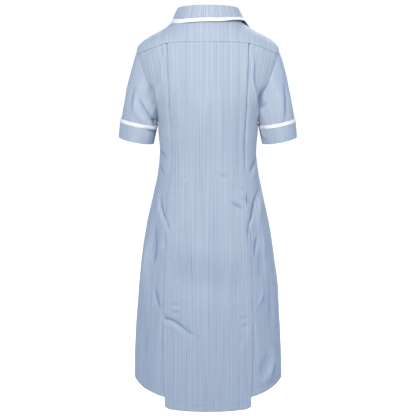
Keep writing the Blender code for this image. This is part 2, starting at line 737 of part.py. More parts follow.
def build_collar_trim():
    """White edging down each front end of the fall and along its outer edge."""
    end = COLLAR_END
    inner_end = end - (COLLAR_TRIM - SHOULDER_GAP) / COLLAR_HALF
    border = collar_along(end)
    inner = collar_along(inner_end)
    edge_down = np.array(FRONT_END_SHARES)[None, :]
    last = np.array([inner_end])
    inner_low = float(1 - COLLAR_TRIM / fall_length(last)[0])
    outer_row = np.concatenate(
        [
            collar_fall(border, 1.0 + 0 * border),
            collar_fall(end + 0 * edge_down, edge_down),
        ],
        axis=1,
    )
    inner_row = np.concatenate(
        [
            collar_fall(inner, 1 - COLLAR_TRIM / fall_length(inner)),
            collar_fall(inner_end + 0 * edge_down, np.minimum(edge_down, inner_low)),
        ],
        axis=1,
    )
    grid = np.concatenate([outer_row, inner_row])
    add_cloth("collar_trim", both_sides(grid), WHITE_EDGING, TRIM_WALL)


def main():
    for old in list(bpy.data.objects):
        bpy.data.objects.remove(old, do_unlink=True)
    collection = bpy.data.collections.new(COLLECTION)
    bpy.context.scene.collection.children.link(collection)
    build_yoke()
    build_centre_back()
    build_side_backs()
    build_pleat_inserts()
    build_fronts()
    build_buttons()
    build_sleeves()
    build_cuffs()
    build_collar()
    build_collar_trim()


main()
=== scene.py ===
"""Nurse uniform dress, worn and hollow: its cloth, creases, edging, buttons and studio.

Metres, +Z up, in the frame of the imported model. The wearer faces -Y and the wearer's left
is +X. A place on the worn form is a bearing round from the centre back, positive to the
wearer's left, and a height.
"""
import itertools
import logging
import math
from collections.abc import Callable, Sequence
from dataclasses import dataclass, field
from enum import Enum

import bmesh
import bpy
import numpy as np
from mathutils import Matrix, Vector


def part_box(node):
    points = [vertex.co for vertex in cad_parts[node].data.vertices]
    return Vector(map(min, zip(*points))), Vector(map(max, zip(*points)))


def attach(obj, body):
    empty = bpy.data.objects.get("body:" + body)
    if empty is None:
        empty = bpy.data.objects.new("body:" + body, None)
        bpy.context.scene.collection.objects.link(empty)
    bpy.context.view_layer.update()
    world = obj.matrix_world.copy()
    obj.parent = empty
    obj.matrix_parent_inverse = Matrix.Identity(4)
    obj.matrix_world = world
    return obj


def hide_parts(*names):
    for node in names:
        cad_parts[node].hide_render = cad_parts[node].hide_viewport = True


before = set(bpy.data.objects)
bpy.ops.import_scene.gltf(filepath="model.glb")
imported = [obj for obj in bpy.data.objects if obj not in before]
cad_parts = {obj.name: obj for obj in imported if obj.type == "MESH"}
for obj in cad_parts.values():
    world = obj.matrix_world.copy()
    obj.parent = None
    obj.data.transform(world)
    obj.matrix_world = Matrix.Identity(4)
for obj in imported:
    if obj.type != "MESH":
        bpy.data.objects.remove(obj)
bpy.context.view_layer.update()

Array = np.ndarray
log = logging.getLogger("nurse_uniform_dress")

ROOT = "root"


# ---- The worn form ----------------------------------------------------------------------
@dataclass(frozen=True)
class Section:
    """One level of the worn form."""

    z: float
    half_width: float
    back_depth: float
    front_depth: float
    squareness: float


BODY = (
    Section(0.006, 0.0700, 0.062, 0.026, 2.00),
    Section(0.002, 0.0775, 0.066, 0.030, 2.00),
    Section(-0.012, 0.0960, 0.077, 0.045, 2.00),
    Section(-0.028, 0.1215, 0.086, 0.058, 2.00),
    Section(-0.043, 0.1500, 0.092, 0.069, 2.00),
    Section(-0.060, 0.1750, 0.098, 0.081, 2.00),
    Section(-0.078, 0.1880, 0.103, 0.092, 2.00),
    Section(-0.100, 0.1910, 0.108, 0.103, 2.05),
    Section(-0.125, 0.1870, 0.112, 0.114, 2.10),
    Section(-0.155, 0.1780, 0.115, 0.124, 2.15),
    Section(-0.185, 0.1640, 0.117, 0.131, 2.20),
    Section(-0.215, 0.1490, 0.117, 0.134, 2.25),
    Section(-0.262, 0.1355, 0.113, 0.133, 2.30),
    Section(-0.300, 0.1340, 0.108, 0.126, 2.30),
    Section(-0.354, 0.1310, 0.104, 0.114, 2.30),
    Section(-0.409, 0.1370, 0.108, 0.112, 2.30),
    Section(-0.476, 0.1510, 0.118, 0.119, 2.25),
    Section(-0.543, 0.1660, 0.130, 0.127, 2.20),
    Section(-0.611, 0.1780, 0.139, 0.133, 2.20),
    Section(-0.679, 0.1870, 0.145, 0.138, 2.20),
    Section(-0.772, 0.1960, 0.152, 0.144, 2.20),
    Section(-0.865, 0.2030, 0.160, 0.150, 2.20),
    Section(-0.940, 0.2065, 0.165, 0.155, 2.20),
    Section(-1.050, 0.2065, 0.170, 0.160, 2.20),
)


@dataclass(frozen=True)
class Place:
    """One point of a curve given by a table."""

    at: float
    value: float


YOKE_SEAM = (  # distance from the centre back, height
    Place(0.0, -0.056),
    Place(0.060, -0.057),
    Place(0.105, -0.0605),
    Place(0.140, -0.0710),
    Place(0.190, -0.0935),
)
PANEL_SEAM = (  # height, distance from the centre back
    Place(-0.050, 0.1050),
    Place(-0.210, 0.0985),
    Place(-0.380, 0.0965),
    Place(-0.450, 0.1070),
    Place(-0.530, 0.1120),
    Place(-0.600, 0.1140),
    Place(-0.680, 0.1180),
    Place(-0.800, 0.1190),
    Place(-0.930, 0.1195),
    Place(-1.050, 0.1160),
)
SIDE_SEAM = (  # height, bearing in degrees
    Place(-0.262, 90.0),
    Place(-0.420, 86.0),
    Place(-0.600, 77.0),
    Place(-0.800, 73.0),
    Place(-1.000, 73.0),
)


def smooth_curve(levels: Sequence[float], values: Sequence[float]) -> Callable[[Array], Array]:
    """A smooth function through values at levels.

    Args:
        levels: Where the values are known.
        values: The values there.

    Returns:
        A function of a number or an array of them.
    """
    order = np.argsort(levels)
    x = np.asarray(levels, float)[order]
    y = np.asarray(values, float)[order]
    slopes = np.gradient(y, x)

    def value(at: Array) -> Array:
        """The curve's value."""
        at = np.clip(at, x[0], x[-1])
        i = np.clip(np.searchsorted(x, at) - 1, 0, len(x) - 2)
        step = x[i + 1] - x[i]
        t = (at - x[i]) / step
        start = (1 + 2 * t) * (1 - t) ** 2 * y[i] + t * (1 - t) ** 2 * step * slopes[i]
        end = t * t * (3 - 2 * t) * y[i + 1] + t * t * (t - 1) * step * slopes[i + 1]
        return start + end

    return value


def curve_of(rows: Sequence[object], key: str, column: str) -> Callable[[Array], Array]:
    """A smooth function of one column of a table against another."""
    return smooth_curve([getattr(r, key) for r in rows], [getattr(r, column) for r in rows])


def smooth_step(value: Array, start: float, end: float) -> Array:
    """Rises smoothly from 0 at start to 1 at end."""
    t = np.clip((value - start) / (end - start), 0.0, 1.0)
    return t * t * (3 - 2 * t)


def signed_power(value: Array, power: Array) -> Array:
    """A power of the size of a value, with its sign kept."""
    return np.sign(value) * np.abs(value) ** power


def unit(vectors: Array) -> Array:
    """Vectors made one long."""
    return vectors / np.maximum(np.linalg.norm(vectors, axis=-1, keepdims=True), 1e-12)


yoke_seam_z = curve_of(YOKE_SEAM, "at", "value")
panel_seam_x = curve_of(PANEL_SEAM, "at", "value")
side_seam_degrees = curve_of(SIDE_SEAM, "at", "value")


class WornForm:
    """The rounded form that the cloth is worn on."""

    TURN, RISE = 0.02, 0.002  # steps over which its normals are measured

    def __init__(self, sections: Sequence[Section]) -> None:
        """Makes the smooth curves through the sections."""
        self.half_width = curve_of(sections, "z", "half_width")
        self.back_depth = curve_of(sections, "z", "back_depth")
        self.front_depth = curve_of(sections, "z", "front_depth")
        self.squareness = curve_of(sections, "z", "squareness")

    def point(self, bearing: Array, z: Array) -> Array:
        """The form's points at bearings and heights."""
        power = 2 / self.squareness(z)
        depth = np.where(np.cos(bearing) > 0, self.back_depth(z), self.front_depth(z))
        x = self.half_width(z) * signed_power(np.sin(bearing), power)
        y = depth * signed_power(np.cos(bearing), power)
        return np.stack([x, y, z + 0 * x], axis=-1)

    def normal(self, bearing: Array, z: Array) -> Array:
        """Unit outward normals of the form."""
        across = self.point(bearing + self.TURN, z) - self.point(bearing - self.TURN, z)
        up = self.point(bearing, z + self.RISE) - self.point(bearing, z - self.RISE)
        return unit(np.cross(up, across))

    def bearing_at(self, x: Array, z: Array, front: bool = False) -> Array:
        """The bearing where the back or front half is x metres from the centre plane."""
        share = np.clip(np.abs(x) / self.half_width(z), 0.0, 1.0)
        angle = np.arcsin(share ** (self.squareness(z) / 2))
        return np.sign(x) * (math.pi - angle if front else angle)


FORM = WornForm(BODY)


# ---- Noise and creases ------------------------------------------------------------------
def soft_noise(points: Array, cell: Sequence[float], seed: int) -> Array:
    """Smooth noise from -1 to 1 at points.

    Args:
        points: Points in space, last axis 3.
        cell: How far apart its bumps are along x, y and z.
        seed: Chooses the pattern.

    Returns:
        One number for each point.
    """
    scaled = points / np.asarray(cell, float)
    base = np.floor(scaled).astype(np.int64)
    share = scaled - base
    share = share * share * (3 - 2 * share)
    total = np.zeros(points.shape[:-1])
    for corner in itertools.product((0, 1), repeat=3):
        at = base + np.array(corner)
        mixed = at[..., 0] * 73856093 ^ at[..., 1] * 19349663 ^ at[..., 2] * 83492791
        mixed = (mixed ^ seed * 9973) & 0x7FFFFFFF
        mixed = (mixed ^ (mixed >> 13)) * 1274126177 & 0x7FFFFFFF
        mixed = (mixed ^ (mixed >> 16)) * 668265263 & 0x7FFFFFFF
        value = mixed / 0x3FFFFFFF - 1.0
        total += value * np.prod(np.where(corner, share, 1 - share), axis=-1)
    return total


@dataclass(frozen=True)
class Crease:
    """One crease: a path of (bearing in degrees, height) pairs and its section."""

    path: tuple[tuple[float, float], ...]
    rise: float  # above the cloth about it, or below where negative
    width: float
    lean: float = 1.0  # how much narrower it is on the far side of its path
    crisp: float = 2.0  # 2 is a soft wave, and 1 comes to a line
    fade: tuple[float, float] = (0.5, 0.5)  # shares of its length over which its ends die


BACK_CREASES = (
    # under the seat
    Crease(((62, -0.560), (22, -0.585), (-18, -0.610), (-52, -0.590)), 0.0055, 0.038),
    Crease(((62, -0.650), (22, -0.672), (-18, -0.694), (-52, -0.670)), -0.0065, 0.038),
    # under the left arm
    Crease(((40, -0.075), (38, -0.110), (40, -0.150), (44, -0.168)), 0.0020, 0.006, 0.5, 1.3),
    Crease(((44, -0.160), (49, -0.175), (58, -0.206), (68, -0.226), (84, -0.246)), 0.0054, 0.009, 0.5, 1.4),
    Crease(((56, -0.160), (68, -0.190), (80, -0.215), (90, -0.240)), -0.0068, 0.010),
    Crease(((38, -0.064), (39, -0.100), (42, -0.140)), -0.0016, 0.0024, 1.0, 1.4, (0.1, 0.5)),
    # under the right arm
    Crease(((-37, -0.064), (-38, -0.110), (-41, -0.160)), -0.0018, 0.0024, 1.0, 1.4, (0.1, 0.5)),
    Crease(((-38, -0.066), (-37, -0.110), (-38, -0.150), (-43, -0.175), (-54, -0.210), (-66, -0.238)),
           0.0061, 0.010, 0.35, 1.3, (0.25, 0.3)),
    Crease(((-50, -0.165), (-60, -0.195), (-74, -0.222), (-88, -0.245)), -0.0088, 0.010),
    Crease(((-62, -0.215), (-74, -0.250), (-84, -0.275)), 0.0037, 0.007, 0.6, 1.4),
    # waist
    Crease(((-88, -0.356), (-70, -0.376), (-59, -0.392), (-47, -0.406)), -0.0044, 0.007, 0.6, 1.4),
    Crease(((-84, -0.378), (-64, -0.402), (-50, -0.424)), 0.0024, 0.009),
    Crease(((92, -0.340), (72, -0.350), (52, -0.364)), -0.0037, 0.007, 0.7, 1.5),
    Crease(((86, -0.380), (70, -0.392), (53, -0.412)), -0.0041, 0.007, 0.6, 1.4),
    Crease(((31, -0.428), (23, -0.420), (15, -0.406)), 0.0020, 0.005, 1.0, 1.5),
    Crease(((-6, -0.398), (-16, -0.404), (-27, -0.398)), -0.0017, 0.008),
    Crease(((-43, -0.446), (-42, -0.470), (-41, -0.494)), -0.0037, 0.005, 0.7, 1.4),
    Crease(((-33, -0.436), (-42, -0.440)), -0.0012, 0.0035),
    Crease(((-32, -0.452), (-42, -0.455)), 0.0012, 0.0035),
    Crease(((-31, -0.465), (-41, -0.469)), -0.0015, 0.0035),
    Crease(((-32, -0.480), (-41, -0.484)), 0.0012, 0.0035),
    Crease(((-18, -0.466), (-29, -0.484), (-38, -0.497)), -0.0031, 0.009),
    # right hip
    Crease(((-78, -0.432), (-66, -0.452), (-56, -0.475), (-47, -0.512), (-39, -0.545), (-36, -0.575),
            (-33, -0.625)),
           -0.0071, 0.009, 0.5, 1.4),
    Crease(((-82, -0.450), (-68, -0.476), (-58, -0.510), (-50, -0.550)), 0.0051, 0.010),
    Crease(((-50, -0.560), (-45, -0.592), (-40, -0.634)), -0.0048, 0.008, 0.6, 1.4),
    Crease(((-60, -0.545), (-56, -0.600), (-50, -0.660)), 0.0037, 0.010),
    Crease(((-52, -0.700), (-46, -0.736), (-38, -0.772)), 0.0044, 0.007, 0.5, 1.4),
    Crease(((-62, -0.640), (-60, -0.760), (-54, -0.860)), -0.0051, 0.014),
    # left hip
    Crease(((56, -0.450), (53, -0.480), (47, -0.505), (38, -0.535), (33, -0.552)), -0.0058, 0.007, 0.5, 1.3),
    Crease(((70, -0.446), (60, -0.476), (52, -0.510), (46, -0.540)), 0.0037, 0.009),
    Crease(((40, -0.560), (39, -0.585), (37, -0.612)), -0.0041, 0.006, 0.7, 1.4),
    Crease(((60, -0.510), (57, -0.560), (52, -0.620), (50, -0.650)), -0.0058, 0.011, 0.7),
    Crease(((70, -0.560), (66, -0.620), (62, -0.690), (58, -0.760)), 0.0054, 0.013),
    Crease(((48, -0.695), (43, -0.735), (37, -0.774)), -0.0041, 0.007, 0.6, 1.4),
    Crease(((52, -0.800), (55, -0.870), (54, -0.960)), -0.0037, 0.013),
    # centre panel
    Crease(((-9, -0.400), (-5, -0.500), (-2, -0.620), (2, -0.700)), -0.0022, 0.020),
    Crease(((-16, -0.560), (-14, -0.690), (-15, -0.840)), 0.0020, 0.018),
    Crease(((12, -0.480), (9, -0.600), (10, -0.720)), 0.0020, 0.018),
    Crease(((20, -0.110), (22, -0.190), (21, -0.290)), -0.0017, 0.016),
    Crease(((-14, -0.090), (-17, -0.180), (-15, -0.260)), 0.0017, 0.018),
    # vents
    Crease(((37, -0.786), (28, -0.788), (20, -0.800), (10, -0.822), (-2, -0.838)),
           -0.0046, 0.006, 1.8, 1.4, (0.1, 0.6)),
    Crease(((34, -0.800), (26, -0.806), (18, -0.822), (8, -0.850)), 0.0027, 0.010, 1.0, 2.0),
    Crease(((31, -0.748), (24, -0.744), (17, -0.745)), -0.0012, 0.0035),
    Crease(((32, -0.758), (25, -0.755), (18, -0.756)), 0.0012, 0.0035),
    Crease(((31, -0.768), (24, -0.765), (18, -0.764)), -0.0012, 0.0035),
    Crease(((-33, -0.778), (-20, -0.782)), -0.0012, 0.0038),
    Crease(((-34, -0.788), (-22, -0.794)), 0.0012, 0.0038),
    Crease(((-33, -0.799), (-21, -0.806)), -0.0012, 0.0042),
    Crease(((-33, -0.811), (-24, -0.820)), 0.0011, 0.0042),
    Crease(((-33, -0.800), (-27, -0.850), (-24, -0.910)), 0.0024, 0.010),
    # low on the right side back
    Crease(((-60, -0.900), (-52, -0.940), (-42, -0.980)), 0.0078, 0.011),
    Crease(((-54, -0.870), (-45, -0.920), (-37, -0.965)), -0.0040, 0.013),
    Crease(((-68, -0.890), (-61, -0.945), (-53, -0.990)), -0.0040, 0.013),
)
FRONT_CREASES = (
    Crease(((118, -0.190), (124, -0.225), (136, -0.262)), -0.0051, 0.010, 0.7, 1.5),
    Crease(((-116, -0.186), (-126, -0.230), (-140, -0.280)), -0.0054, 0.009, 0.6, 1.5),
    Crease(((106, -0.205), (112, -0.240), (118, -0.290)), 0.0039, 0.009),
    Crease(((-106, -0.210), (-110, -0.250), (-120, -0.300)), 0.0036, 0.010),
    Crease(((100, -0.345), (116, -0.362), (130, -0.372)), -0.0036, 0.007, 0.6, 1.4),
    Crease(((104, -0.386), (120, -0.392), (138, -0.386)), 0.0027, 0.008),
    Crease(((-98, -0.352), (-118, -0.366), (-134, -0.384)), -0.0039, 0.007, 0.6, 1.4),
    Crease(((-106, -0.330), (-122, -0.338)), 0.0024, 0.008),
    Crease(((150, -0.360), (163, -0.372), (171, -0.376)), -0.0018, 0.006),
    Crease(((-148, -0.392), (-164, -0.384)), -0.0021, 0.006),
    Crease(((110, -0.430), (118, -0.500), (124, -0.610)), -0.0051, 0.012, 0.7),
    Crease(((-104, -0.450), (-114, -0.540), (-118, -0.650)), -0.0057, 0.012, 0.7),
    Crease(((136, -0.520), (140, -0.680), (138, -0.860)), 0.0039, 0.016),
    Crease(((-140, -0.480), (-143, -0.620), (-140, -0.800)), 0.0039, 0.018),
    Crease(((122, -0.700), (126, -0.820), (124, -0.960)), -0.0045, 0.015),
    Crease(((-126, -0.720), (-128, -0.850), (-124, -0.970)), -0.0051, 0.014),
    Crease(((104, -0.640), (102, -0.780), (104, -0.940)), 0.0039, 0.015),
    Crease(((-98, -0.600), (-96, -0.740), (-100, -0.900)), 0.0042, 0.014),
    Crease(((152, -0.640), (155, -0.800), (152, -0.960)), -0.0033, 0.014),
    Crease(((-158, -0.560), (-160, -0.700), (-157, -0.900)), 0.0027, 0.014),
    Crease(((134, -0.095), (146, -0.130), (158, -0.150)), -0.0021, 0.012),
    Crease(((-132, -0.100), (-142, -0.140), (-152, -0.175)), 0.0021, 0.012),
    Crease(((172, -0.300), (160, -0.312), (150, -0.330)), -0.0018, 0.007),
    Crease(((-170, -0.470), (-158, -0.482)), -0.0018, 0.006),
)
# The largest folds, as the solids have them.
WORN_FOLDS = (
    Crease(((60, -0.165), (68, -0.202), (76, -0.240)), -0.0060, 0.013, fade=(0.4, 0.4)),
    Crease(((-60, -0.165), (-68, -0.202), (-76, -0.240)), -0.0060, 0.013, fade=(0.4, 0.4)),
    Crease(((52, -0.500), (53, -0.590), (54, -0.680)), -0.0050, 0.014, fade=(0.4, 0.4)),
    Crease(((70, -0.560), (68, -0.660), (66, -0.760)), 0.0035, 0.016, fade=(0.4, 0.4)),
    Crease(((-62, -0.450), (-52, -0.515), (-42, -0.580)), -0.0045, 0.012, fade=(0.4, 0.4)),
    Crease(((-52, -0.590), (-49, -0.645), (-46, -0.700)), -0.0040, 0.012, fade=(0.4, 0.4)),
    Crease(((32, -0.800), (22, -0.815), (10, -0.842)), -0.0026, 0.014, fade=(0.4, 0.4)),
    Crease(((-64, -0.900), (-54, -0.942), (-44, -0.985)), 0.0030, 0.014, fade=(0.4, 0.4)),
    Crease(((-52, -0.860), (-61, -0.910), (-70, -0.960)), 0.0040, 0.014, fade=(0.4, 0.4)),
    Crease(((128, -0.380), (132, -0.540), (136, -0.700)), -0.0040, 0.016, fade=(0.4, 0.4)),
    Crease(((-122, -0.400), (-127, -0.580), (-132, -0.760)), -0.0040, 0.016, fade=(0.4, 0.4)),
    Crease(((-152, -0.560), (-151, -0.730), (-150, -0.900)), -0.0030, 0.016, fade=(0.4, 0.4)),
)


CORE_FROM = -0.0030  # creases that sink further than this have a core
CORE_DEPTH = 0.38  # its depth as a share of theirs
CORE_WIDTH = 0.0024
CORE_BROAD = 0.013  # creases this wide stay soft


class CreaseField:
    """Creases laid on a surface, which say how far they raise the cloth at any point."""

    STEP = 0.003  # between the stations along each crease's path
    REACH = 3.2  # widths at which a crease has died away

    def __init__(
        self,
        creases: Sequence[Crease],
        point: Callable[[Array, Array], Array],
        normal: Callable[[Array, Array], Array],
    ) -> None:
        """Lays each crease's path on the surface.

        Args:
            creases: The creases.
            point: The surface's points at (radians, second coordinate).
            normal: Its normals there.
        """
        self.lines = [(crease, *self._line(crease, point, normal)) for crease in creases]

    def _line(
        self,
        crease: Crease,
        point: Callable[[Array, Array], Array],
        normal: Callable[[Array, Array], Array],
    ) -> tuple[Array, Array, Array, Array]:
        """A crease's stations with their directions, sides and strengths."""
        path = np.array(crease.path, float)
        knots = np.linspace(0.0, 1.0, len(path))
        curves = [smooth_curve(knots, path[:, axis]) for axis in range(2)]
        coarse = np.linspace(0.0, 1.0, 80)
        ends = point(np.radians(curves[0](coarse)), curves[1](coarse))
        length = float(np.linalg.norm(np.diff(ends, axis=0), axis=1).sum())
        share = np.linspace(0.0, 1.0, max(6, int(length / self.STEP)))
        at = np.radians(curves[0](share)), curves[1](share)
        stations = point(*at)
        along = unit(np.gradient(stations, axis=0))
        side = unit(np.cross(along, normal(*at)))
        strength = smooth_step(share, 0.0, crease.fade[0]) * smooth_step(1 - share, 0.0, crease.fade[1])
        return stations, along, side, strength

    def rise(self, points: Array) -> Array:
        """How far the creases raise the cloth at points."""
        flat = points.reshape(-1, 3)
        total = np.zeros(len(flat))
        for crease, stations, along, side, strength in self.lines:
            reach = self.REACH * crease.width * max(1.0, crease.lean)
            near = np.all(
                (flat > stations.min(axis=0) - reach) & (flat < stations.max(axis=0) + reach),
                axis=1,
            )
            chosen = flat[near]
            if not len(chosen):
                continue
            apart = ((chosen[:, None] - stations[None]) ** 2).sum(axis=2)
            nearest = apart.argmin(axis=1)
            off = chosen - stations[nearest]
            run = (off * along[nearest]).sum(axis=1)
            inside = (nearest > 0) & (nearest < len(stations) - 1)
            run = np.where(inside, run, np.clip(run, -self.STEP, self.STEP))
            across = off - run[:, None] * along[nearest]
            signed = (across * side[nearest]).sum(axis=1)
            distance = np.linalg.norm(across, axis=1)
            width = np.where(signed > 0, crease.width, crease.width * crease.lean)
            shape = np.exp(-((distance / width) ** crease.crisp))
            total[near] += crease.rise * strength[nearest] * shape
        return total.reshape(points.shape[:-1])


def with_cores(creases: Sequence[Crease]) -> tuple[Crease, ...]:
    """Creases with a sharp line of their own along each that sinks far enough."""
    cores = tuple(
        Crease(each.path, CORE_DEPTH * each.rise, CORE_WIDTH, 0.6, 1.2, each.fade)
        for each in creases
        if each.rise < CORE_FROM and each.width < CORE_BROAD
    )
    return tuple(creases) + cores


BODY_FIELD = CreaseField(with_cores(BACK_CREASES) + FRONT_CREASES + WORN_FOLDS, FORM.point, FORM.normal)


@dataclass(frozen=True)
class Drape:
    """Soft unevenness of worn cloth: long waves down it, and small dents."""

    wave: float = 0.0008
    dent: float = 0.0005
    ripple: float = 0.00016
    wave_cell: tuple[float, float, float] = (0.034, 0.034, 0.150)
    dent_cell: tuple[float, float, float] = (0.017, 0.017, 0.052)
    ripple_cell: tuple[float, float, float] = (0.008, 0.008, 0.016)
    seed: int = 3

    def rise(self, points: Array) -> Array:
        """How far the cloth stands above its form at points."""
        waves = self.wave * soft_noise(points, self.wave_cell, self.seed)
        dents = self.dent * soft_noise(points, self.dent_cell, self.seed + 11)
        ripples = self.ripple * soft_noise(points, self.ripple_cell, self.seed + 23)
        return waves + dents + ripples


BODY_DRAPE = Drape()


# ---- Edges of the panels, for the wearer's left ------------------------------------------
@dataclass(frozen=True)
class Cut:
    """The lines that the body's panels are cut to."""

    underarm_level: float = -0.236  # on the panel seam, level with the start of the side seam
    side_hem: float = -0.986
    vent_hem: float = -1.003
    centre_hem: float = -1.035
    front_hem: float = -0.990
    hem_corner: float = 0.006
    neck_half_width: float = 0.0775
    neck_level: float = 0.002
    neck_drop: float = 0.077
    armhole_level: float = -0.170
    armhole_half_height: float = 0.092
    armhole_back: float = 0.055
    armhole_front: float = 0.060
    yoke_end: float = 30.0  # degrees round the armhole where the yoke's back seam ends
    shoulder_seam: float = -15.0  # and where its front seam does

    def armhole(self, degrees: Array) -> tuple[Array, Array]:
        """Bearings and heights round the armhole: 0 shoulder, 90 back, 180 underarm."""
        turn = np.radians(degrees)
        z = self.armhole_level + self.armhole_half_height * np.cos(turn)
        reach = np.sin(turn)
        y = np.abs(reach) * np.where(reach > 0, self.armhole_back, self.armhole_front)
        depth = np.where(reach > 0, FORM.back_depth(z), FORM.front_depth(z))
        angle = np.arccos((y / depth) ** (FORM.squareness(z) / 2))
        return np.where(reach > 0, angle, math.pi - angle), z

    def neckline_back(self, plan: Array) -> tuple[Array, Array]:
        """The neckline behind the shoulders, toward a bearing in plan."""
        z = self.neck_level + 0 * plan
        ratio = np.abs(np.tan(plan)) * FORM.back_depth(z) / FORM.half_width(z)
        return np.sign(plan) * np.arctan(ratio ** (FORM.squareness(z) / 2)), z

    def neckline_front(self, quarter: Array) -> tuple[Array, Array]:
        """The neckline from the shoulder, 0, to the centre front, pi / 2."""
        z = self.neck_level - self.neck_drop * np.sin(quarter)
        x = self.neck_half_width * np.cos(quarter)
        return FORM.bearing_at(x + 1e-9, z, front=True), z

    @property
    def shoulder_forward(self) -> float:
        """How far the shoulder seam lies in front of the shoulder's ridge."""
        return self.armhole_front * math.sin(math.radians(-self.shoulder_seam))

    def neck_quarter(self) -> float:
        """Where round the front of the neck the shoulder seam starts."""
        quarters = np.linspace(0.0, 0.8, 200)
        forward = -FORM.point(*self.neckline_front(quarters))[:, 1]
        return float(np.interp(self.shoulder_forward, forward, quarters))

    def shoulder(self, share: Array) -> tuple[Array, Array]:
        """The shoulder seam, from the neck, 0, to the armhole, 1."""
        start = float(self.neckline_front(np.array(self.neck_quarter()))[1])
        z = start + (float(self.armhole(np.array(self.shoulder_seam))[1]) - start) * share
        angle = np.arccos((self.shoulder_forward / FORM.front_depth(z)) ** (FORM.squareness(z) / 2))
        return math.pi - angle, z

    def panel_top(self) -> float:
        """Height where the panel seam meets the yoke."""
        return float(yoke_seam_z(panel_seam_x(np.array(-0.06))))

    def side_seam(self, z: Array) -> tuple[Array, Array]:
        """The side seam at heights."""
        return np.radians(side_seam_degrees(z)), z


CUT = Cut()


@dataclass(frozen=True)
class Laps:
    """How a side back passes under the centre back, at the pleat and at the vent."""

    layer: float = 0.0015
    pleat_full: float = -0.345
    pleat_shut: float = -0.370
    pleat_flat: float = -0.395
    vent_flat: float = -0.790
    vent_top: float = -0.806
    vent_full: float = -0.830
    pleat_under: float = 0.020
    vent_under: float = 0.026
    edge: float = 0.0015
    ramp: float = 0.009
    edge_stand: float = 0.0009  # how far the centre back's folded edges stand over the rest

    def under(self, z: Array) -> Array:
        """How far a side back passes under the centre back at heights."""
        pleat = self.pleat_under * smooth_step(z, self.pleat_shut, self.pleat_full)
        return pleat + self.vent_under * smooth_step(z, self.vent_top, self.vent_full)

    def lift(self, bearing: Array, z: Array, right: bool) -> Array:
        """How far a side back is sunk, as a negative lift."""
        depth = smooth_step(z, self.pleat_flat, self.pleat_shut) * (2.4 if right else 2.2)
        depth = self.layer * (depth + 1.1 * smooth_step(z, self.vent_flat, self.vent_top))
        beyond = np.abs(FORM.point(bearing, z)[..., 0]) - panel_seam_x(z)
        return -depth * (1 - smooth_step(beyond, self.edge, self.ramp))


LAPS = Laps()


# ---- Cloth as meshes ----------------------------------------------------------------------
class Edge(Enum):
    """How an edge of a piece of cloth is finished."""

    SEAM = "seam"
    HEM = "hem"
    FOLDED = "folded"
    PLAIN = "plain"


@dataclass(frozen=True)
class Held:
    """How a sheet of cloth was cut and how it is held."""

    width: float
    length: float
    area: float
    held: str = "draped"


@dataclass
class Cloth:
    """A grid of cloth: its middle, its outward normals, its flat coordinates and its wall."""

    points: Array
    normals: Array
    flat: Array
    wall: Array
    tube: bool = False

    def mirrored(self) -> "Cloth":
        """The same cloth on the other side of the body."""
        flip = np.array((-1.0, 1.0, 1.0))
        return Cloth(self.points * flip, self.normals * flip, self.flat, self.wall, self.tube)


def flat_of(points: Array, middle: int | None = None) -> Array:
    """Flat coordinates of a grid: lengths across from a column, and down from the top."""
    across = np.linalg.norm(np.diff(points, axis=1), axis=2)
    across = np.concatenate([np.zeros((len(points), 1)), np.cumsum(across, axis=1)], axis=1)
    middle = points.shape[1] // 2 if middle is None else middle
    across = across - across[:, [middle]]
    down = np.linalg.norm(np.diff(points, axis=0), axis=2)
    down = np.concatenate([np.zeros((1, points.shape[1])), np.cumsum(down, axis=0)], axis=0)
    return np.stack([across, -down], axis=-1)


def border_distances(points: Array) -> dict[str, Array]:
    """Distances of a grid's points from its four borders, measured along the grid."""
    across = np.linalg.norm(np.diff(points, axis=1), axis=2)
    across = np.concatenate([np.zeros((len(points), 1)), np.cumsum(across, axis=1)], axis=1)
    down = np.linalg.norm(np.diff(points, axis=0), axis=2)
    down = np.concatenate([np.zeros((1, points.shape[1])), np.cumsum(down, axis=0)], axis=0)
    return {
        "left": across,
        "right": across[:, [-1]] - across,
        "top": down,
        "bottom": down[[-1]] - down,
    }


@dataclass(frozen=True)
class EdgeFinish:
    """The shape that each way of finishing an edge gives the cloth near it."""

    groove: float = 0.0007  # depth of the groove at a seam
    groove_width: float = 0.0024
    roll: float = 0.0006  # how far a folded edge turns in
    pucker: float = 0.00055
    pucker_width: float = 0.012
    short: float = 0.0075  # a pucker's size along the seam
    long: float = 0.060  # and across it
    hem_width: float = 0.016
    hem_wall: float = 0.0007  # added to the wall within a hem
    hem_step: float = 0.0004

    def rise(self, edge: Edge, side: str, away: Array, points: Array) -> Array:
        """How far the cloth is raised near one edge."""
        upright = side in ("left", "right")
        cell = (self.long, self.long, self.short) if upright else (self.short, self.short, self.long)
        ripples = soft_noise(points, cell, 41 if upright else 57)
        pucker = self.pucker * ripples * np.exp(-away / self.pucker_width)
        if edge is Edge.SEAM:
            return pucker - self.groove * np.exp(-((away / self.groove_width) ** 2))
        if edge is Edge.FOLDED:
            return 0.8 * pucker - self.roll * np.exp(-((away / self.groove_width) ** 2))
        if edge is Edge.HEM:
            stitched = np.exp(-(((away - self.hem_width) / self.groove_width) ** 2))
            swell = self.hem_step * smooth_step(self.hem_width - away, 0.0, 0.003)
            near_stitch = np.exp(-np.abs(away - self.hem_width) / self.pucker_width)
            return swell - 0.5 * self.groove * stitched + self.pucker * ripples * near_stitch
        return np.zeros(away.shape)

    def thickening(self, edge: Edge, away: Array) -> Array:
        """What an edge adds to the wall."""
        if edge is not Edge.HEM:
            return np.zeros(away.shape)
        return self.hem_wall * smooth_step(self.hem_width - away, -0.002, 0.002)


EDGES = EdgeFinish()
CLOTH_WALL = 0.0008


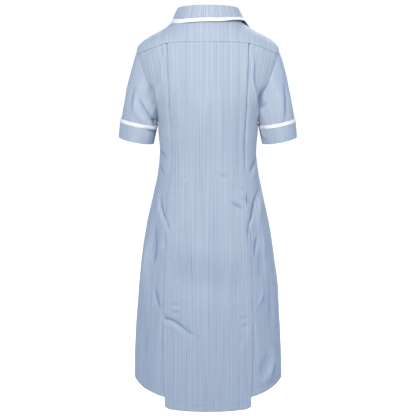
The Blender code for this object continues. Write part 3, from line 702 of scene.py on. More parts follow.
def lay_cloth(
    base: Array,
    normal: Array,
    rise: Array,
    edges: dict[str, Edge],
    middle: int | None = None,
    wall: float = CLOTH_WALL,
    tube: bool = False,
) -> Cloth:
    """Cloth raised over a smooth base grid, with its edges finished.

    Args:
        base: The smooth grid.
        normal: Its outward normals.
        rise: How far the cloth stands above it.
        edges: The finish of the left, right, top and bottom borders.
        middle: The column that the grain is measured from.
        wall: Thickness of the cloth.
        tube: Whether the first and last columns are one.

    Returns:
        The grid of cloth.
    """
    away = border_distances(base)
    thickness = np.full(base.shape[:2], wall)
    total = np.array(rise, float)
    for side, edge in edges.items():
        total = total + EDGES.rise(edge, side, away[side], base)
        thickness = thickness + EDGES.thickening(edge, away[side])
    points = base + total[..., None] * normal
    across, down = np.gradient(points, axis=1), np.gradient(points, axis=0)
    if tube:
        seam = points[:, 1] - points[:, -2]
        across[:, 0] = across[:, -1] = seam / 2
    worn = unit(np.cross(down, across))
    worn *= np.sign((worn * normal).sum(axis=-1, keepdims=True))
    return Cloth(points, worn, flat_of(base, middle), thickness, tube)


FOLD_SHADE_DEPTH = 0.0021  # below the cloth about it, where cloth counts as wholly sunk in a fold and takes the full painted shade
FOLD_SHADE_PASSES = 7


def fold_shade_mask_of(cloth: Cloth) -> Array:
    """How deep each point lies in a fold, 1 when wholly sunk in a fold and below 0 on a ridge: the mask for
    the painted fold shade and the painted ridge highlight.
    """
    smooth = cloth.points
    for _ in range(FOLD_SHADE_PASSES):
        for axis in range(2):
            ends = [(0, 0), (0, 0), (0, 0)]
            ends[axis] = (1, 1)
            mode = "wrap" if cloth.tube and axis == 1 else "edge"
            padded = np.pad(smooth, ends, mode=mode)
            before = np.take(padded, range(smooth.shape[axis]), axis=axis)
            after = np.take(padded, range(2, smooth.shape[axis] + 2), axis=axis)
            smooth = (before + 2 * smooth + after) / 4
    deep = ((smooth - cloth.points) * cloth.normals).sum(axis=-1)
    away = border_distances(cloth.points)
    for side in ("top", "bottom") if cloth.tube else ("left", "right", "top", "bottom"):
        deep = deep * smooth_step(away[side], 0.0, 0.004)
    return np.clip(deep / FOLD_SHADE_DEPTH, -1.0, 1.0)


def cloth_mesh(name: str, cloth: Cloth) -> bpy.types.Mesh:
    """A closed mesh with an outer and an inner side and a rim round its edges.

    Args:
        name: The mesh's name.
        cloth: The grid.

    Returns:
        The mesh, with flat coordinates as its UV map.
    """
    rows, columns = cloth.points.shape[:2]
    kept = columns - 1 if cloth.tube else columns
    half = cloth.wall[..., None] * cloth.normals / 2
    outer = (cloth.points + half)[:, :kept].reshape(-1, 3)
    inner = (cloth.points - half)[:, :kept].reshape(-1, 3)
    r, c = np.meshgrid(np.arange(rows - 1), np.arange(columns - 1), indexing="ij")
    r, c = r.ravel(), c.ravel()
    corners = np.stack([r, c, r + 1, c, r + 1, c + 1, r, c + 1], axis=1).reshape(-1, 4, 2)
    index = corners[..., 0] * kept + corners[..., 1] % kept
    middle = index[len(index) // 2]
    facing = np.cross(outer[middle[1]] - outer[middle[0]], outer[middle[2]] - outer[middle[1]])
    normal = cloth.normals[corners[len(index) // 2, 0, 0], corners[len(index) // 2, 0, 1]]
    flip = facing @ normal < 0
    down = [(row, 0) for row in range(rows)]
    low = [(rows - 1, column) for column in range(columns)]
    up = [(row, columns - 1) for row in range(rows - 1, -1, -1)]
    high = [(0, column) for column in range(columns - 1, -1, -1)]
    runs = (low, high) if cloth.tube else (down, low, up, high)
    rim, rim_places = [], []
    count = rows * kept
    for run in runs:
        for a, b in itertools.pairwise(run):
            first = a[0] * kept + a[1] % kept
            second = b[0] * kept + b[1] % kept
            rim.append((second, first, first + count, second + count))
            rim_places.append((b, a, a, b))
    faces = np.concatenate([index, index[:, ::-1] + count, np.array(rim)])
    places = np.concatenate([corners, corners[:, ::-1], np.array(rim_places)])
    if flip:
        faces, places = faces[:, ::-1], places[:, ::-1]
    mesh = bpy.data.meshes.new(name)
    mesh.from_pydata(np.concatenate([outer, inner]).tolist(), [], faces.tolist())
    smooth = np.ones(len(faces), bool)
    smooth[2 * len(index):] = False
    mesh.polygons.foreach_set("use_smooth", smooth)
    layer = mesh.uv_layers.new(name="flat_cut")
    uv = cloth.flat[places[..., 0], places[..., 1]]
    layer.data.foreach_set("uv", uv.reshape(-1))
    # Painted fold shade: each outer point's depth in a fold, which the finish turns into darker colour in
    # folds and lighter colour on ridges; the inner side gets none.
    painted_shade_share = fold_shade_mask_of(cloth)[:, :kept].reshape(-1)
    painted_fold_shade = mesh.attributes.new("painted_fold_shade", "FLOAT", "POINT")
    painted_fold_shade.data.foreach_set("value", np.concatenate([painted_shade_share, 0.0 * painted_shade_share]))
    mesh.update()
    return mesh


class Slot(Enum):
    """The material slot names."""

    BLUE = "blue_stripe_cloth"
    WHITE = "white_edging"
    BUTTON = "white_button"


def place_piece(
    name: str,
    mesh: bpy.types.Mesh,
    material: bpy.types.Material,
    nodes: Sequence[str] = (),
    held: Held | None = None,
) -> bpy.types.Object:
    """Puts a piece in the scene with its finish, and hides the solids that it stands for.

    Args:
        name: The piece's name.
        mesh: Its mesh.
        material: Its finish.
        nodes: The solids that it stands for.
        held: How it was cut, for a sheet of cloth.

    Returns:
        The piece.
    """
    piece = bpy.data.objects.new(name, mesh)
    bpy.context.scene.collection.objects.link(piece)
    mesh.materials.clear()
    mesh.materials.append(material)
    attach(piece, ROOT)
    if nodes:
        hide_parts(*nodes)
    if held is not None:
        one_layer = sum(p.area for p in mesh.polygons) / 2
        log.info("%s: one layer %.4f m2, declared %.4f", name, one_layer, held.area)
    return piece


def place_cloth(
    name: str,
    cloth: Cloth,
    finish: bpy.types.Material,
    node: str,
    held: Held,
) -> None:
    """Makes a piece of cloth and puts it in the scene.

    Args:
        name: The piece's name.
        cloth: Its grid.
        finish: Its finish.
        node: The solid that it stands for.
        held: How it was cut.
    """
    place_piece(name, cloth_mesh(name, cloth), finish, [node], held)


def shares(length: float, pitch: float, fine: Sequence[float] = (0.0012, 0.0026)) -> Array:
    """Places from 0 to 1 along a length, closer together near its ends."""
    near = [place / length for place in fine]
    even = np.linspace(0.0, 1.0, max(4, round(length / pitch)) + 1)
    return np.unique(np.concatenate([even, near, [1 - place for place in near]]))


def blend_edges(
    left: tuple[Array, Array],
    right: tuple[Array, Array],
    across: Array,
    top: tuple[Array, Array] | None = None,
    fade: Array | None = None,
) -> tuple[Array, Array]:
    """Bearings and heights of a grid between two edges, with a top edge that fades out below.

    Args:
        left: Bearings and heights of the left edge.
        right: The same of the right edge.
        across: Shares of the way across.
        top: The same of the top edge.
        fade: How much of the top edge is left at each row, from 1 to 0.

    Returns:
        Bearings and heights.
    """
    grids = []
    for axis in range(2):
        a, b = left[axis][:, None], right[axis][:, None]
        grid = a + (b - a) * across
        if top is not None:
            grid = grid + fade[:, None] * (top[axis] - grid[0])
        grids.append(grid)
    return grids[0], grids[1]


def body_cloth(
    bearing: Array, z: Array, edges: dict[str, Edge], lift: Array | float = 0.0, middle: int | None = None
) -> Cloth:
    """Cloth on the worn form, with the body's creases."""
    base, normal = FORM.point(bearing, z), FORM.normal(bearing, z)
    rise = lift + BODY_FIELD.rise(base) + BODY_DRAPE.rise(base)
    return lay_cloth(base, normal, rise, edges, middle)


# ---- Finishes -----------------------------------------------------------------------------
Feed = float | tuple | bpy.types.NodeSocket


THREAD_HEIGHT = 0.0001


class NodeDesk:
    """Adds nodes to a tree and joins them."""

    def __init__(self, tree: bpy.types.NodeTree) -> None:
        """Works on one tree."""
        self.tree = tree

    def feed(self, socket: bpy.types.NodeSocket, value: Feed) -> None:
        """Gives a socket a number or colour, or joins another socket to it."""
        if isinstance(value, bpy.types.NodeSocket):
            self.tree.links.new(value, socket)
        else:
            socket.default_value = value

    def add(
        self, kind: str, feeds: dict[str | int, Feed] | None = None, **settings: object
    ) -> bpy.types.Node:
        """Adds a node.

        Args:
            kind: Its Blender type.
            feeds: What each of its inputs takes, by name or number.
            settings: Its own settings.

        Returns:
            The node.
        """
        node = self.tree.nodes.new(kind)
        for key, value in settings.items():
            setattr(node, key, value)
        for key, value in (feeds or {}).items():
            self.feed(node.inputs[key], value)
        return node

    def math(self, operation: str, *values: Feed, clamp: bool = False) -> bpy.types.NodeSocket:
        """The result of a Math node on one to three values."""
        node = self.add("ShaderNodeMath", dict(enumerate(values)), operation=operation, use_clamp=clamp)
        return node.outputs[0]

    def mix(self, share: Feed, first: Feed, second: Feed) -> bpy.types.NodeSocket:
        """A colour between two colours."""
        return self.add("ShaderNodeMix", {0: share, 6: first, 7: second}, data_type="RGBA").outputs[2]

    def group(self, group: bpy.types.NodeTree, feeds: dict[str, Feed]) -> bpy.types.Node:
        """Puts a shared group in the tree."""
        return self.add("ShaderNodeGroup", feeds, node_tree=group)

    def bump(self, height: Feed, strength: Feed) -> bpy.types.NodeSocket:
        """A surface normal bent by the threads' height."""
        feeds = {"Height": height, "Strength": strength, "Distance": THREAD_HEIGHT}
        return self.add("ShaderNodeBump", feeds).outputs[0]

    def split(self, vector: Feed) -> bpy.types.Node:
        """A node that splits a vector."""
        return self.add("ShaderNodeSeparateXYZ", {0: vector})

    def join(self, x: Feed, y: Feed, z: Feed = 0.0) -> bpy.types.NodeSocket:
        """A vector of three numbers."""
        return self.add("ShaderNodeCombineXYZ", {0: x, 1: y, 2: z}).outputs[0]

    def noise(self, vector: Feed, scale: float, detail: float = 2.0) -> bpy.types.NodeSocket:
        """Smooth noise about one half."""
        feeds = {"Vector": vector, "Scale": scale, "Detail": detail, "Roughness": 0.55}
        return self.add("ShaderNodeTexNoise", feeds).outputs[0]


def new_finish(name: str) -> tuple[bpy.types.Material, NodeDesk, bpy.types.Node]:
    """A new material, a desk on its nodes, and its shader."""
    material = bpy.data.materials.new(name)
    material.use_nodes = True
    return material, NodeDesk(material.node_tree), material.node_tree.nodes["Principled BSDF"]


def new_group(
    name: str, inputs: dict[str, tuple[str, Feed]], outputs: dict[str, str]
) -> tuple[bpy.types.NodeTree, NodeDesk, bpy.types.Node, bpy.types.Node]:
    """An empty node group with named sockets.

    Args:
        name: The group's name.
        inputs: For each input, its socket type and value.
        outputs: For each output, its socket type.

    Returns:
        The group, a desk on it, and its input and output nodes.
    """
    tree = bpy.data.node_groups.new(name, "ShaderNodeTree")
    for label, (kind, value) in inputs.items():
        socket = tree.interface.new_socket(label, in_out="INPUT", socket_type=kind)
        if value is not None:
            socket.default_value = value
    for label, kind in outputs.items():
        tree.interface.new_socket(label, in_out="OUTPUT", socket_type=kind)
    desk = NodeDesk(tree)
    return tree, desk, desk.add("NodeGroupInput"), desk.add("NodeGroupOutput")


def plain_weave_group() -> bpy.types.NodeTree:
    """Over-and-under threads: a height, and a mask of painted shade for the hollows between them."""
    tree, desk, given, out = new_group(
        "plain_weave",
        {
            "Flat": ("NodeSocketVector", None),
            "Thread": ("NodeSocketFloat", 0.0005),
            "Slub": ("NodeSocketFloat", 0.3),
        },
        {"Height": "NodeSocketFloat", "Gap_Shade": "NodeSocketFloat"},
    )
    flat = desk.split(given.outputs["Flat"])
    turns = desk.math("DIVIDE", math.pi, given.outputs["Thread"])
    warp = desk.math("SINE", desk.math("MULTIPLY", flat.outputs[0], turns))
    weft = desk.math("SINE", desk.math("MULTIPLY", flat.outputs[1], turns))
    crossing = desk.math("ABSOLUTE", desk.math("MULTIPLY", warp, weft))
    slub_at = desk.join(
        desk.math("MULTIPLY", flat.outputs[0], 900.0), desk.math("MULTIPLY", flat.outputs[1], 90.0)
    )
    slub = desk.math("SUBTRACT", desk.noise(slub_at, 1.0), 0.5)
    height = desk.math("MULTIPLY_ADD", slub, given.outputs["Slub"], crossing)
    desk.feed(out.inputs["Height"], height)
    desk.feed(out.inputs["Gap_Shade"], desk.math("SUBTRACT", 1.0, crossing, clamp=True))
    return tree


def stripe_group() -> bpy.types.NodeTree:
    """Narrow stripes along the grain, a little uneven, that blend into one colour from afar."""
    tree, desk, given, out = new_group(
        "woven_stripe",
        {
            "Flat": ("NodeSocketVector", None),
            "Pitch": ("NodeSocketFloat", 0.002),
            "Light": ("NodeSocketColor", (0.8, 0.8, 0.8, 1.0)),
            "Dark": ("NodeSocketColor", (0.1, 0.2, 0.5, 1.0)),
            "Streaks": ("NodeSocketFloat", 0.2),
        },
        {"Color": "NodeSocketColor"},
    )
    flat = desk.split(given.outputs["Flat"])
    across, along = flat.outputs[0], flat.outputs[1]
    drift = desk.join(desk.math("MULTIPLY", across, 210.0), desk.math("MULTIPLY", along, 2.0))
    place = desk.math("DIVIDE", across, given.outputs["Pitch"])
    place = desk.math("ADD", place, desk.math("MULTIPLY", desk.noise(drift, 1.0, 1.0), 1.5))
    wave = desk.math("SINE", desk.math("MULTIPLY", place, math.tau))
    narrow = desk.join(desk.math("MULTIPLY", across, 640.0), desk.math("MULTIPLY", along, 3.0))
    broad = desk.join(desk.math("MULTIPLY", across, 480.0), desk.math("MULTIPLY", along, 1.2))
    uneven = desk.math("ADD", desk.noise(narrow, 1.0, 1.0), desk.noise(broad, 1.0, 1.0))
    uneven = desk.math("MULTIPLY", desk.math("SUBTRACT", uneven, 1.0), given.outputs["Streaks"])
    shifted = desk.math("ADD", wave, desk.math("MULTIPLY", uneven, 4.0))
    stripe = desk.add(
        "ShaderNodeMapRange",
        {"Value": shifted, "From Min": -0.45, "From Max": 0.45, "To Min": 0.0, "To Max": 1.0},
        interpolation_type="SMOOTHSTEP",
    ).outputs[0]
    color = desk.mix(stripe, given.outputs["Dark"], given.outputs["Light"])
    desk.feed(out.inputs["Color"], color)
    return tree


def wear_group() -> bpy.types.NodeTree:
    """Slow changes of tone over a piece, as laundered cloth has."""
    tree, desk, given, out = new_group(
        "laundered_tone",
        {
            "Color": ("NodeSocketColor", (0.8, 0.8, 0.8, 1.0)),
            "Amount": ("NodeSocketFloat", 0.05),
            "Roughness": ("NodeSocketFloat", 0.85),
        },
        {"Color": "NodeSocketColor", "Roughness": "NodeSocketFloat"},
    )
    place = desk.add("ShaderNodeTexCoord").outputs["Object"]
    tone = desk.math("ADD", desk.noise(place, 9.0, 3.0), desk.noise(place, 60.0, 2.0))
    tone = desk.math("MULTIPLY", desk.math("SUBTRACT", tone, 1.0), given.outputs["Amount"])
    level = desk.math("ADD", tone, 1.0)
    scaled = desk.add("ShaderNodeVectorMath", {0: given.outputs["Color"], 3: level}, operation="SCALE")
    desk.feed(out.inputs["Color"], scaled.outputs[0])
    desk.feed(out.inputs["Roughness"], desk.math("SUBTRACT", given.outputs["Roughness"], tone))
    return tree


def painted_fold_shade_group() -> bpy.types.NodeTree:
    """Painted shade: cloth colour darkened where it lies in a fold, and a painted highlight lightening it on
    a ridge.
    """
    tree, desk, given, out = new_group(
        "painted_fold_shade_and_ridge_highlight",
        {
            "Color": ("NodeSocketColor", (0.8, 0.8, 0.8, 1.0)),
            "Fold": ("NodeSocketFloat", 0.0),
            "Shade": ("NodeSocketColor", (0.5, 0.6, 0.8, 1.0)),
        },
        {"Color": "NodeSocketColor"},
    )
    painted_shade_share = desk.math("MAXIMUM", given.outputs["Fold"], 0.0)
    raised = desk.math("MINIMUM", given.outputs["Fold"], 0.0)
    painted_shade_color = desk.add(
        "ShaderNodeVectorMath",
        {0: given.outputs["Color"], 1: given.outputs["Shade"]},
        operation="MULTIPLY",
    ).outputs[0]
    shaded = desk.mix(painted_shade_share, given.outputs["Color"], painted_shade_color)
    level = desk.math("MULTIPLY_ADD", raised, -0.12, 1.0)
    lit = desk.add("ShaderNodeVectorMath", {0: shaded, 3: level}, operation="SCALE")
    desk.feed(out.inputs["Color"], lit.outputs[0])
    return tree


class FinishBook:
    """The node groups that finishes share, each built once."""

    def __init__(self) -> None:
        """Builds the groups."""
        self.weave = plain_weave_group()
        self.stripe = stripe_group()
        # Painted fold shade and painted ridge highlight.
        self.fold = painted_fold_shade_group()
        self.tone = wear_group()


@dataclass(frozen=True)
class StripedCloth:
    """Polyester and cotton woven in fine blue and white stripes along the grain."""

    name: str = "striped_cloth"
    light: tuple[float, float, float, float] = (0.575, 0.624, 0.705, 1.0)
    dark: tuple[float, float, float, float] = (0.265, 0.335, 0.500, 1.0)
    pitch: float = 0.0024
    streaks: float = 0.12
    thread: float = 0.00050
    roughness: float = 0.86
    sheen: float = 0.18
    tone: float = 0.05
    bump: float = 0.16
    shade: tuple[float, float, float, float] = (0.46, 0.60, 0.80, 1.0)  # the light left in a fold
    between: float = 0.10  # how far painted shade darkens the gaps between threads
    # The colour of the painted shade in the gaps between threads.
    thread_gap_shade: tuple[float, float, float, float] = (0.05, 0.08, 0.16, 1.0)
    sheen_roughness: float = 0.5
    specular: float = 0.25

    def build(self, book: FinishBook) -> bpy.types.Material:
        """The material."""
        material, desk, shader = new_finish(self.name)
        flat = desk.add("ShaderNodeUVMap", uv_map="flat_cut").outputs[0]
        feeds = {"Flat": flat, "Pitch": self.pitch, "Streaks": self.streaks}
        stripe = desk.group(book.stripe, feeds | {"Light": self.light, "Dark": self.dark})
        feeds = {"Color": stripe.outputs["Color"], "Amount": self.tone, "Roughness": self.roughness}
        tone = desk.group(book.tone, feeds)
        weave = desk.group(book.weave, {"Flat": flat, "Thread": self.thread})
        # Painted shade in the gaps between threads.
        between = desk.math("MULTIPLY", weave.outputs["Gap_Shade"], self.between)
        shade = desk.mix(between, tone.outputs["Color"], self.thread_gap_shade)
        # Painted shade in folds and painted highlight on ridges, from the mesh's fold mask.
        fold = desk.add("ShaderNodeAttribute", attribute_name="painted_fold_shade").outputs["Fac"]
        folded = desk.group(book.fold, {"Color": shade, "Fold": fold, "Shade": self.shade})
        desk.feed(shader.inputs["Base Color"], folded.outputs["Color"])
        desk.feed(shader.inputs["Roughness"], tone.outputs["Roughness"])
        desk.feed(shader.inputs["Normal"], desk.bump(weave.outputs["Height"], self.bump))
        shader.inputs["Sheen Weight"].default_value = self.sheen
        shader.inputs["Sheen Roughness"].default_value = self.sheen_roughness
        shader.inputs["Specular IOR Level"].default_value = self.specular
        return material


@dataclass(frozen=True)
class PlainCloth:
    """Cloth or thread of one colour, with its weave."""

    name: str
    color: tuple[float, float, float, float]
    thread: float = 0.00045
    roughness: float = 0.80
    sheen: float = 0.15
    tone: float = 0.03
    bump: float = 0.25
    between: float = 0.12  # how far painted shade darkens the gaps between threads
    dimming: float = 0.72  # of the colour left in them under the painted shade
    specular: float = 0.3

    def build(self, book: FinishBook) -> bpy.types.Material:
        """The material."""
        material, desk, shader = new_finish(self.name)
        flat = desk.add("ShaderNodeUVMap", uv_map="flat_cut").outputs[0]
        weave = desk.group(book.weave, {"Flat": flat, "Thread": self.thread})
        painted_shade_color = tuple(self.dimming * part for part in self.color[:3]) + (1.0,)
        # Painted shade in the gaps between threads.
        between = desk.math("MULTIPLY", weave.outputs["Gap_Shade"], self.between)
        shade = desk.mix(between, self.color, painted_shade_color)
        feeds = {"Color": shade, "Amount": self.tone, "Roughness": self.roughness}
        tone = desk.group(book.tone, feeds)
        desk.feed(shader.inputs["Base Color"], tone.outputs["Color"])
        desk.feed(shader.inputs["Roughness"], tone.outputs["Roughness"])
        desk.feed(shader.inputs["Normal"], desk.bump(weave.outputs["Height"], self.bump))
        shader.inputs["Sheen Weight"].default_value = self.sheen
        shader.inputs["Specular IOR Level"].default_value = self.specular
        return material


@dataclass(frozen=True)
class ButtonFinish:
    """Moulded white button, faintly clouded."""

    name: str = "moulded_button"
    color: tuple[float, float, float, float] = (0.88, 0.89, 0.92, 1.0)
    roughness: float = 0.28
    tone: float = 0.08
    coat: float = 0.3
    coat_roughness: float = 0.12
    glow: float = 0.05  # light that passes under the surface

    def build(self, book: FinishBook) -> bpy.types.Material:
        """The material."""
        material, desk, shader = new_finish(self.name)
        feeds = {"Color": self.color, "Amount": self.tone, "Roughness": self.roughness}
        tone = desk.group(book.tone, feeds)
        desk.feed(shader.inputs["Base Color"], tone.outputs["Color"])
        desk.feed(shader.inputs["Roughness"], tone.outputs["Roughness"])
        shader.inputs["Coat Weight"].default_value = self.coat
        shader.inputs["Coat Roughness"].default_value = self.coat_roughness
        shader.inputs["Subsurface Weight"].default_value = self.glow
        return material


@dataclass
class Wardrobe:
    """The finishes of this dress, built once."""

    striped: bpy.types.Material
    edging: bpy.types.Material
    thread: bpy.types.Material
    button: bpy.types.Material

    @classmethod
    def open(cls) -> "Wardrobe":
        """Builds every finish."""
        book = FinishBook()
        return cls(
            StripedCloth().build(book),
            PlainCloth("white_poplin", (0.90, 0.91, 0.94, 1.0)).build(book),
            PlainCloth("sewing_thread", (0.62, 0.70, 0.84, 1.0), 0.0003, 0.6, 0.1).build(book),
            ButtonFinish().build(book),
        )


# ---- Stitching ----------------------------------------------------------------------------
@dataclass(frozen=True)
class StitchSize:
    """The size of machine stitches."""

    length: float = 0.0022
    gap: float = 0.0008
    width: float = 0.00042
    height: float = 0.00022
    lift: float = 0.00008


class StitchRow:
    """Machine stitches along a line on the cloth."""

    def __init__(self, name: str, wardrobe: Wardrobe, size: StitchSize = StitchSize()) -> None:
        """Starts an empty row."""
        self.name, self.wardrobe, self.size = name, wardrobe, size
        self.points: list[Array] = []
        self.faces: list[tuple[int, ...]] = []

    def run(self, line: Array, normals: Array) -> None:
        """Sews along a line of points on the cloth's outer side."""
        steps = np.linalg.norm(np.diff(line, axis=0), axis=1)
        at = np.concatenate([[0.0], np.cumsum(steps)])
        size = self.size
        for start in np.arange(0.001, at[-1] - size.length, size.length + size.gap):
            ends = np.array([start, start + size.length])
            a, b = (np.array([np.interp(e, at, line[:, k]) for k in range(3)]) for e in ends)
            n = np.array([np.interp(start, at, normals[:, k]) for k in range(3)])
            self.sew(a, b, n / np.linalg.norm(n))

    def sew(self, a: Array, b: Array, normal: Array) -> None:
        """Adds one stitch, a low rounded bar."""
        size = self.size
        along = (b - a) / np.linalg.norm(b - a)
        side = np.cross(normal, along)
        first = sum(len(p) for p in self.points)
        rings = []
        for share, swell in ((0.0, 0.45), (0.2, 1.0), (0.8, 1.0), (1.0, 0.45)):
            middle = a + (b - a) * share + normal * size.lift
            for across, up in ((-1, 0), (-0.6, 1), (0.6, 1), (1, 0), (0, -0.6)):
                offset = side * across * size.width / 2 + normal * up * size.height
                rings.append(middle + offset * swell)
        self.points.append(np.array(rings))
        for ring in range(3):
            for k in range(5):
                p, q = first + ring * 5, first + ring * 5 + 5
                self.faces.append((p + k, p + (k + 1) % 5, q + (k + 1) % 5, q + k))
        self.faces.append(tuple(first + k for k in range(4, -1, -1)))
        self.faces.append(tuple(first + 15 + k for k in range(5)))

    def place(self) -> bpy.types.Object:
        """Puts the row in the scene."""
        mesh = bpy.data.meshes.new(self.name)
        mesh.from_pydata(np.concatenate(self.points).tolist(), [], self.faces)
        layer = mesh.uv_layers.new(name="flat_cut")
        corners = np.zeros(len(mesh.loops), int)
        mesh.loops.foreach_get("vertex_index", corners)
        spots = np.concatenate(self.points)[corners]
        layer.data.foreach_set("uv", spots[:, [0, 2]].reshape(-1))
        mesh.polygons.foreach_set("use_smooth", np.ones(len(mesh.polygons), bool))
        return place_piece(self.name, mesh, self.wardrobe.thread)


def inset_line(
    cloth: Cloth, side: str, away: float, start: float = 0.0, end: float = 1.0
) -> tuple[Array, Array]:
    """A line on the cloth's outer side at a distance from one of its borders.

    Args:
        cloth: The cloth.
        side: left, right, top or bottom.
        away: The line's distance from that border.
        start: Share of the border's length where it starts.
        end: Share where it ends.

    Returns:
        Its points and the cloth's normals there.
    """
    distance = border_distances(cloth.points)[side]
    outer = cloth.points + cloth.normals * cloth.wall[..., None] / 2
    normals = cloth.normals
    if side in ("top", "bottom"):
        distance, outer, normals = distance.T, outer.transpose(1, 0, 2), normals.transpose(1, 0, 2)
    if side in ("right", "bottom"):
        distance, outer, normals = distance[:, ::-1], outer[:, ::-1], normals[:, ::-1]
    first, last = int(start * len(outer)), int(end * len(outer))
    line, turned = [], []
    for row in range(first, last):
        k = max(1, int(np.searchsorted(distance[row], away)))
        k = min(k, len(distance[row]) - 1)
        low, high = distance[row][k - 1], distance[row][k]
        t = np.clip((away - low) / max(high - low, 1e-9), 0.0, 1.0)
        line.append(outer[row][k - 1] * (1 - t) + outer[row][k] * t)
        turned.append(unit(normals[row][k - 1] * (1 - t) + normals[row][k] * t))
    return np.array(line), np.array(turned)


# ---- Body ---------------------------------------------------------------------------------
@dataclass
class BackYoke:
    """The yoke, from one shoulder seam round the back of the neck to the other."""

    pitch: float = 0.0034
    rows: int = 34
    grain_slope: float = 1.05  # cloth across for each metre across in space
    lap_lift: float = 0.0009  # how far its lower edge stands over the panels
    held: Held = field(default_factory=lambda: Held(0.400, 0.140, 0.0370))

    def cloth(self) -> Cloth:
        """The yoke's cloth."""
        end, end_z = CUT.armhole(np.array(CUT.yoke_end))
        end_x = float(FORM.point(end, end_z)[0])
        seam_count, arm_count = round(2.1 * end_x / self.pitch), 18
        x = np.linspace(-end_x, end_x, seam_count)
        z = yoke_seam_z(np.abs(x))
        blend = smooth_step(np.abs(x), end_x - 0.02, end_x)
        z = z + blend * (float(end_z) - float(yoke_seam_z(np.array(end_x))))
        bearing = FORM.bearing_at(x, z)
        arm = CUT.armhole(np.linspace(CUT.yoke_end, CUT.shoulder_seam, arm_count + 1)[1:])
        outer_bearing = np.concatenate([-arm[0][::-1], bearing, arm[0]])
        outer_z = np.concatenate([arm[1][::-1], z, arm[1]])
        outer = FORM.point(outer_bearing, outer_z)
        plan = np.arctan2(outer[:, 0], outer[:, 1])
        inner_bearing, inner_z = CUT.neckline_back(np.clip(plan, -math.pi / 2, math.pi / 2))
        front_bearing, front_z = CUT.neckline_front(np.array(CUT.neck_quarter()))
        inner_bearing[0], inner_bearing[-1] = -front_bearing, front_bearing
        inner_z[0] = inner_z[-1] = front_z
        share = shares(0.10, 0.10 / self.rows)
        down = share[:, None]
        grid_bearing = inner_bearing + (outer_bearing - inner_bearing) * down
        grid_z = inner_z + (outer_z - inner_z) * down
        shoulder = CUT.shoulder(share)
        grid_bearing[:, 0], grid_bearing[:, -1] = -shoulder[0], shoulder[0]
        grid_z[:, 0] = grid_z[:, -1] = shoulder[1]
        edges = {"left": Edge.SEAM, "right": Edge.SEAM, "top": Edge.SEAM, "bottom": Edge.FOLDED}
        lap = self.lap_lift * smooth_step(down, 0.80, 1.0) + 0 * grid_z
        cloth = body_cloth(grid_bearing, grid_z, edges, lap)
        base = FORM.point(grid_bearing, grid_z)
        cloth.flat = np.stack([base[..., 0] * self.grain_slope, base[..., 2] - base[..., 1]], axis=-1)
        return cloth

    def build(self, wardrobe: Wardrobe) -> Cloth:
        """Builds the yoke and returns its cloth."""
        cloth = self.cloth()
        place_cloth("yoke_cloth", cloth, wardrobe.striped, "back_yoke", self.held)
        return cloth


@dataclass
class CentreBack:
    """The centre back, from the yoke to the hem, between the pleats and the vents."""

    pitch: float = 0.0032
    held: Held = field(default_factory=lambda: Held(0.240, 0.982, 0.2250))

    def cloth(self) -> Cloth:
        """The centre back's cloth."""
        top = CUT.panel_top()
        down = shares(top - CUT.centre_hem, self.pitch)
        level = top + (CUT.centre_hem - top) * down
        seam = FORM.bearing_at(panel_seam_x(level), level)
        across = shares(0.236, self.pitch)[None, :]
        x = (2 * across[0] - 1) * panel_seam_x(np.array(top))
        top_z = yoke_seam_z(np.abs(x))
        top_edge = FORM.bearing_at(x, top_z), top_z
        upper = (top - CUT.underarm_level) / (top - CUT.centre_hem)
        fade = np.clip(1 - down / upper, 0.0, 1.0)
        bearing, z = blend_edges((-seam, level), (seam, level), across, top_edge, fade)
        near_side = 1 - smooth_step(np.minimum(across, 1 - across), 0.0, 0.055)
        z = z + CUT.hem_corner * near_side * smooth_step(down, 0.985, 1.0)[:, None]
        edges = {"top": Edge.SEAM, "bottom": Edge.HEM, "left": Edge.FOLDED, "right": Edge.FOLDED}
        from_edge = panel_seam_x(z) - np.abs(FORM.point(bearing, z)[..., 0])
        open_edge = smooth_step(z, LAPS.pleat_flat, LAPS.pleat_shut) + smooth_step(
            -z, -LAPS.vent_flat, -LAPS.vent_top
        )
        lift = LAPS.edge_stand * open_edge * np.exp(-np.abs(from_edge) / 0.008)
        return body_cloth(bearing, z, edges, lift)

    def build(self, wardrobe: Wardrobe) -> Cloth:
        """Builds the centre back and returns its cloth."""
        cloth = self.cloth()
        name, node, finish = "centre_back_cloth", "back_centre", wardrobe.striped
        place_cloth(name, cloth, finish, node, self.held)
        return cloth


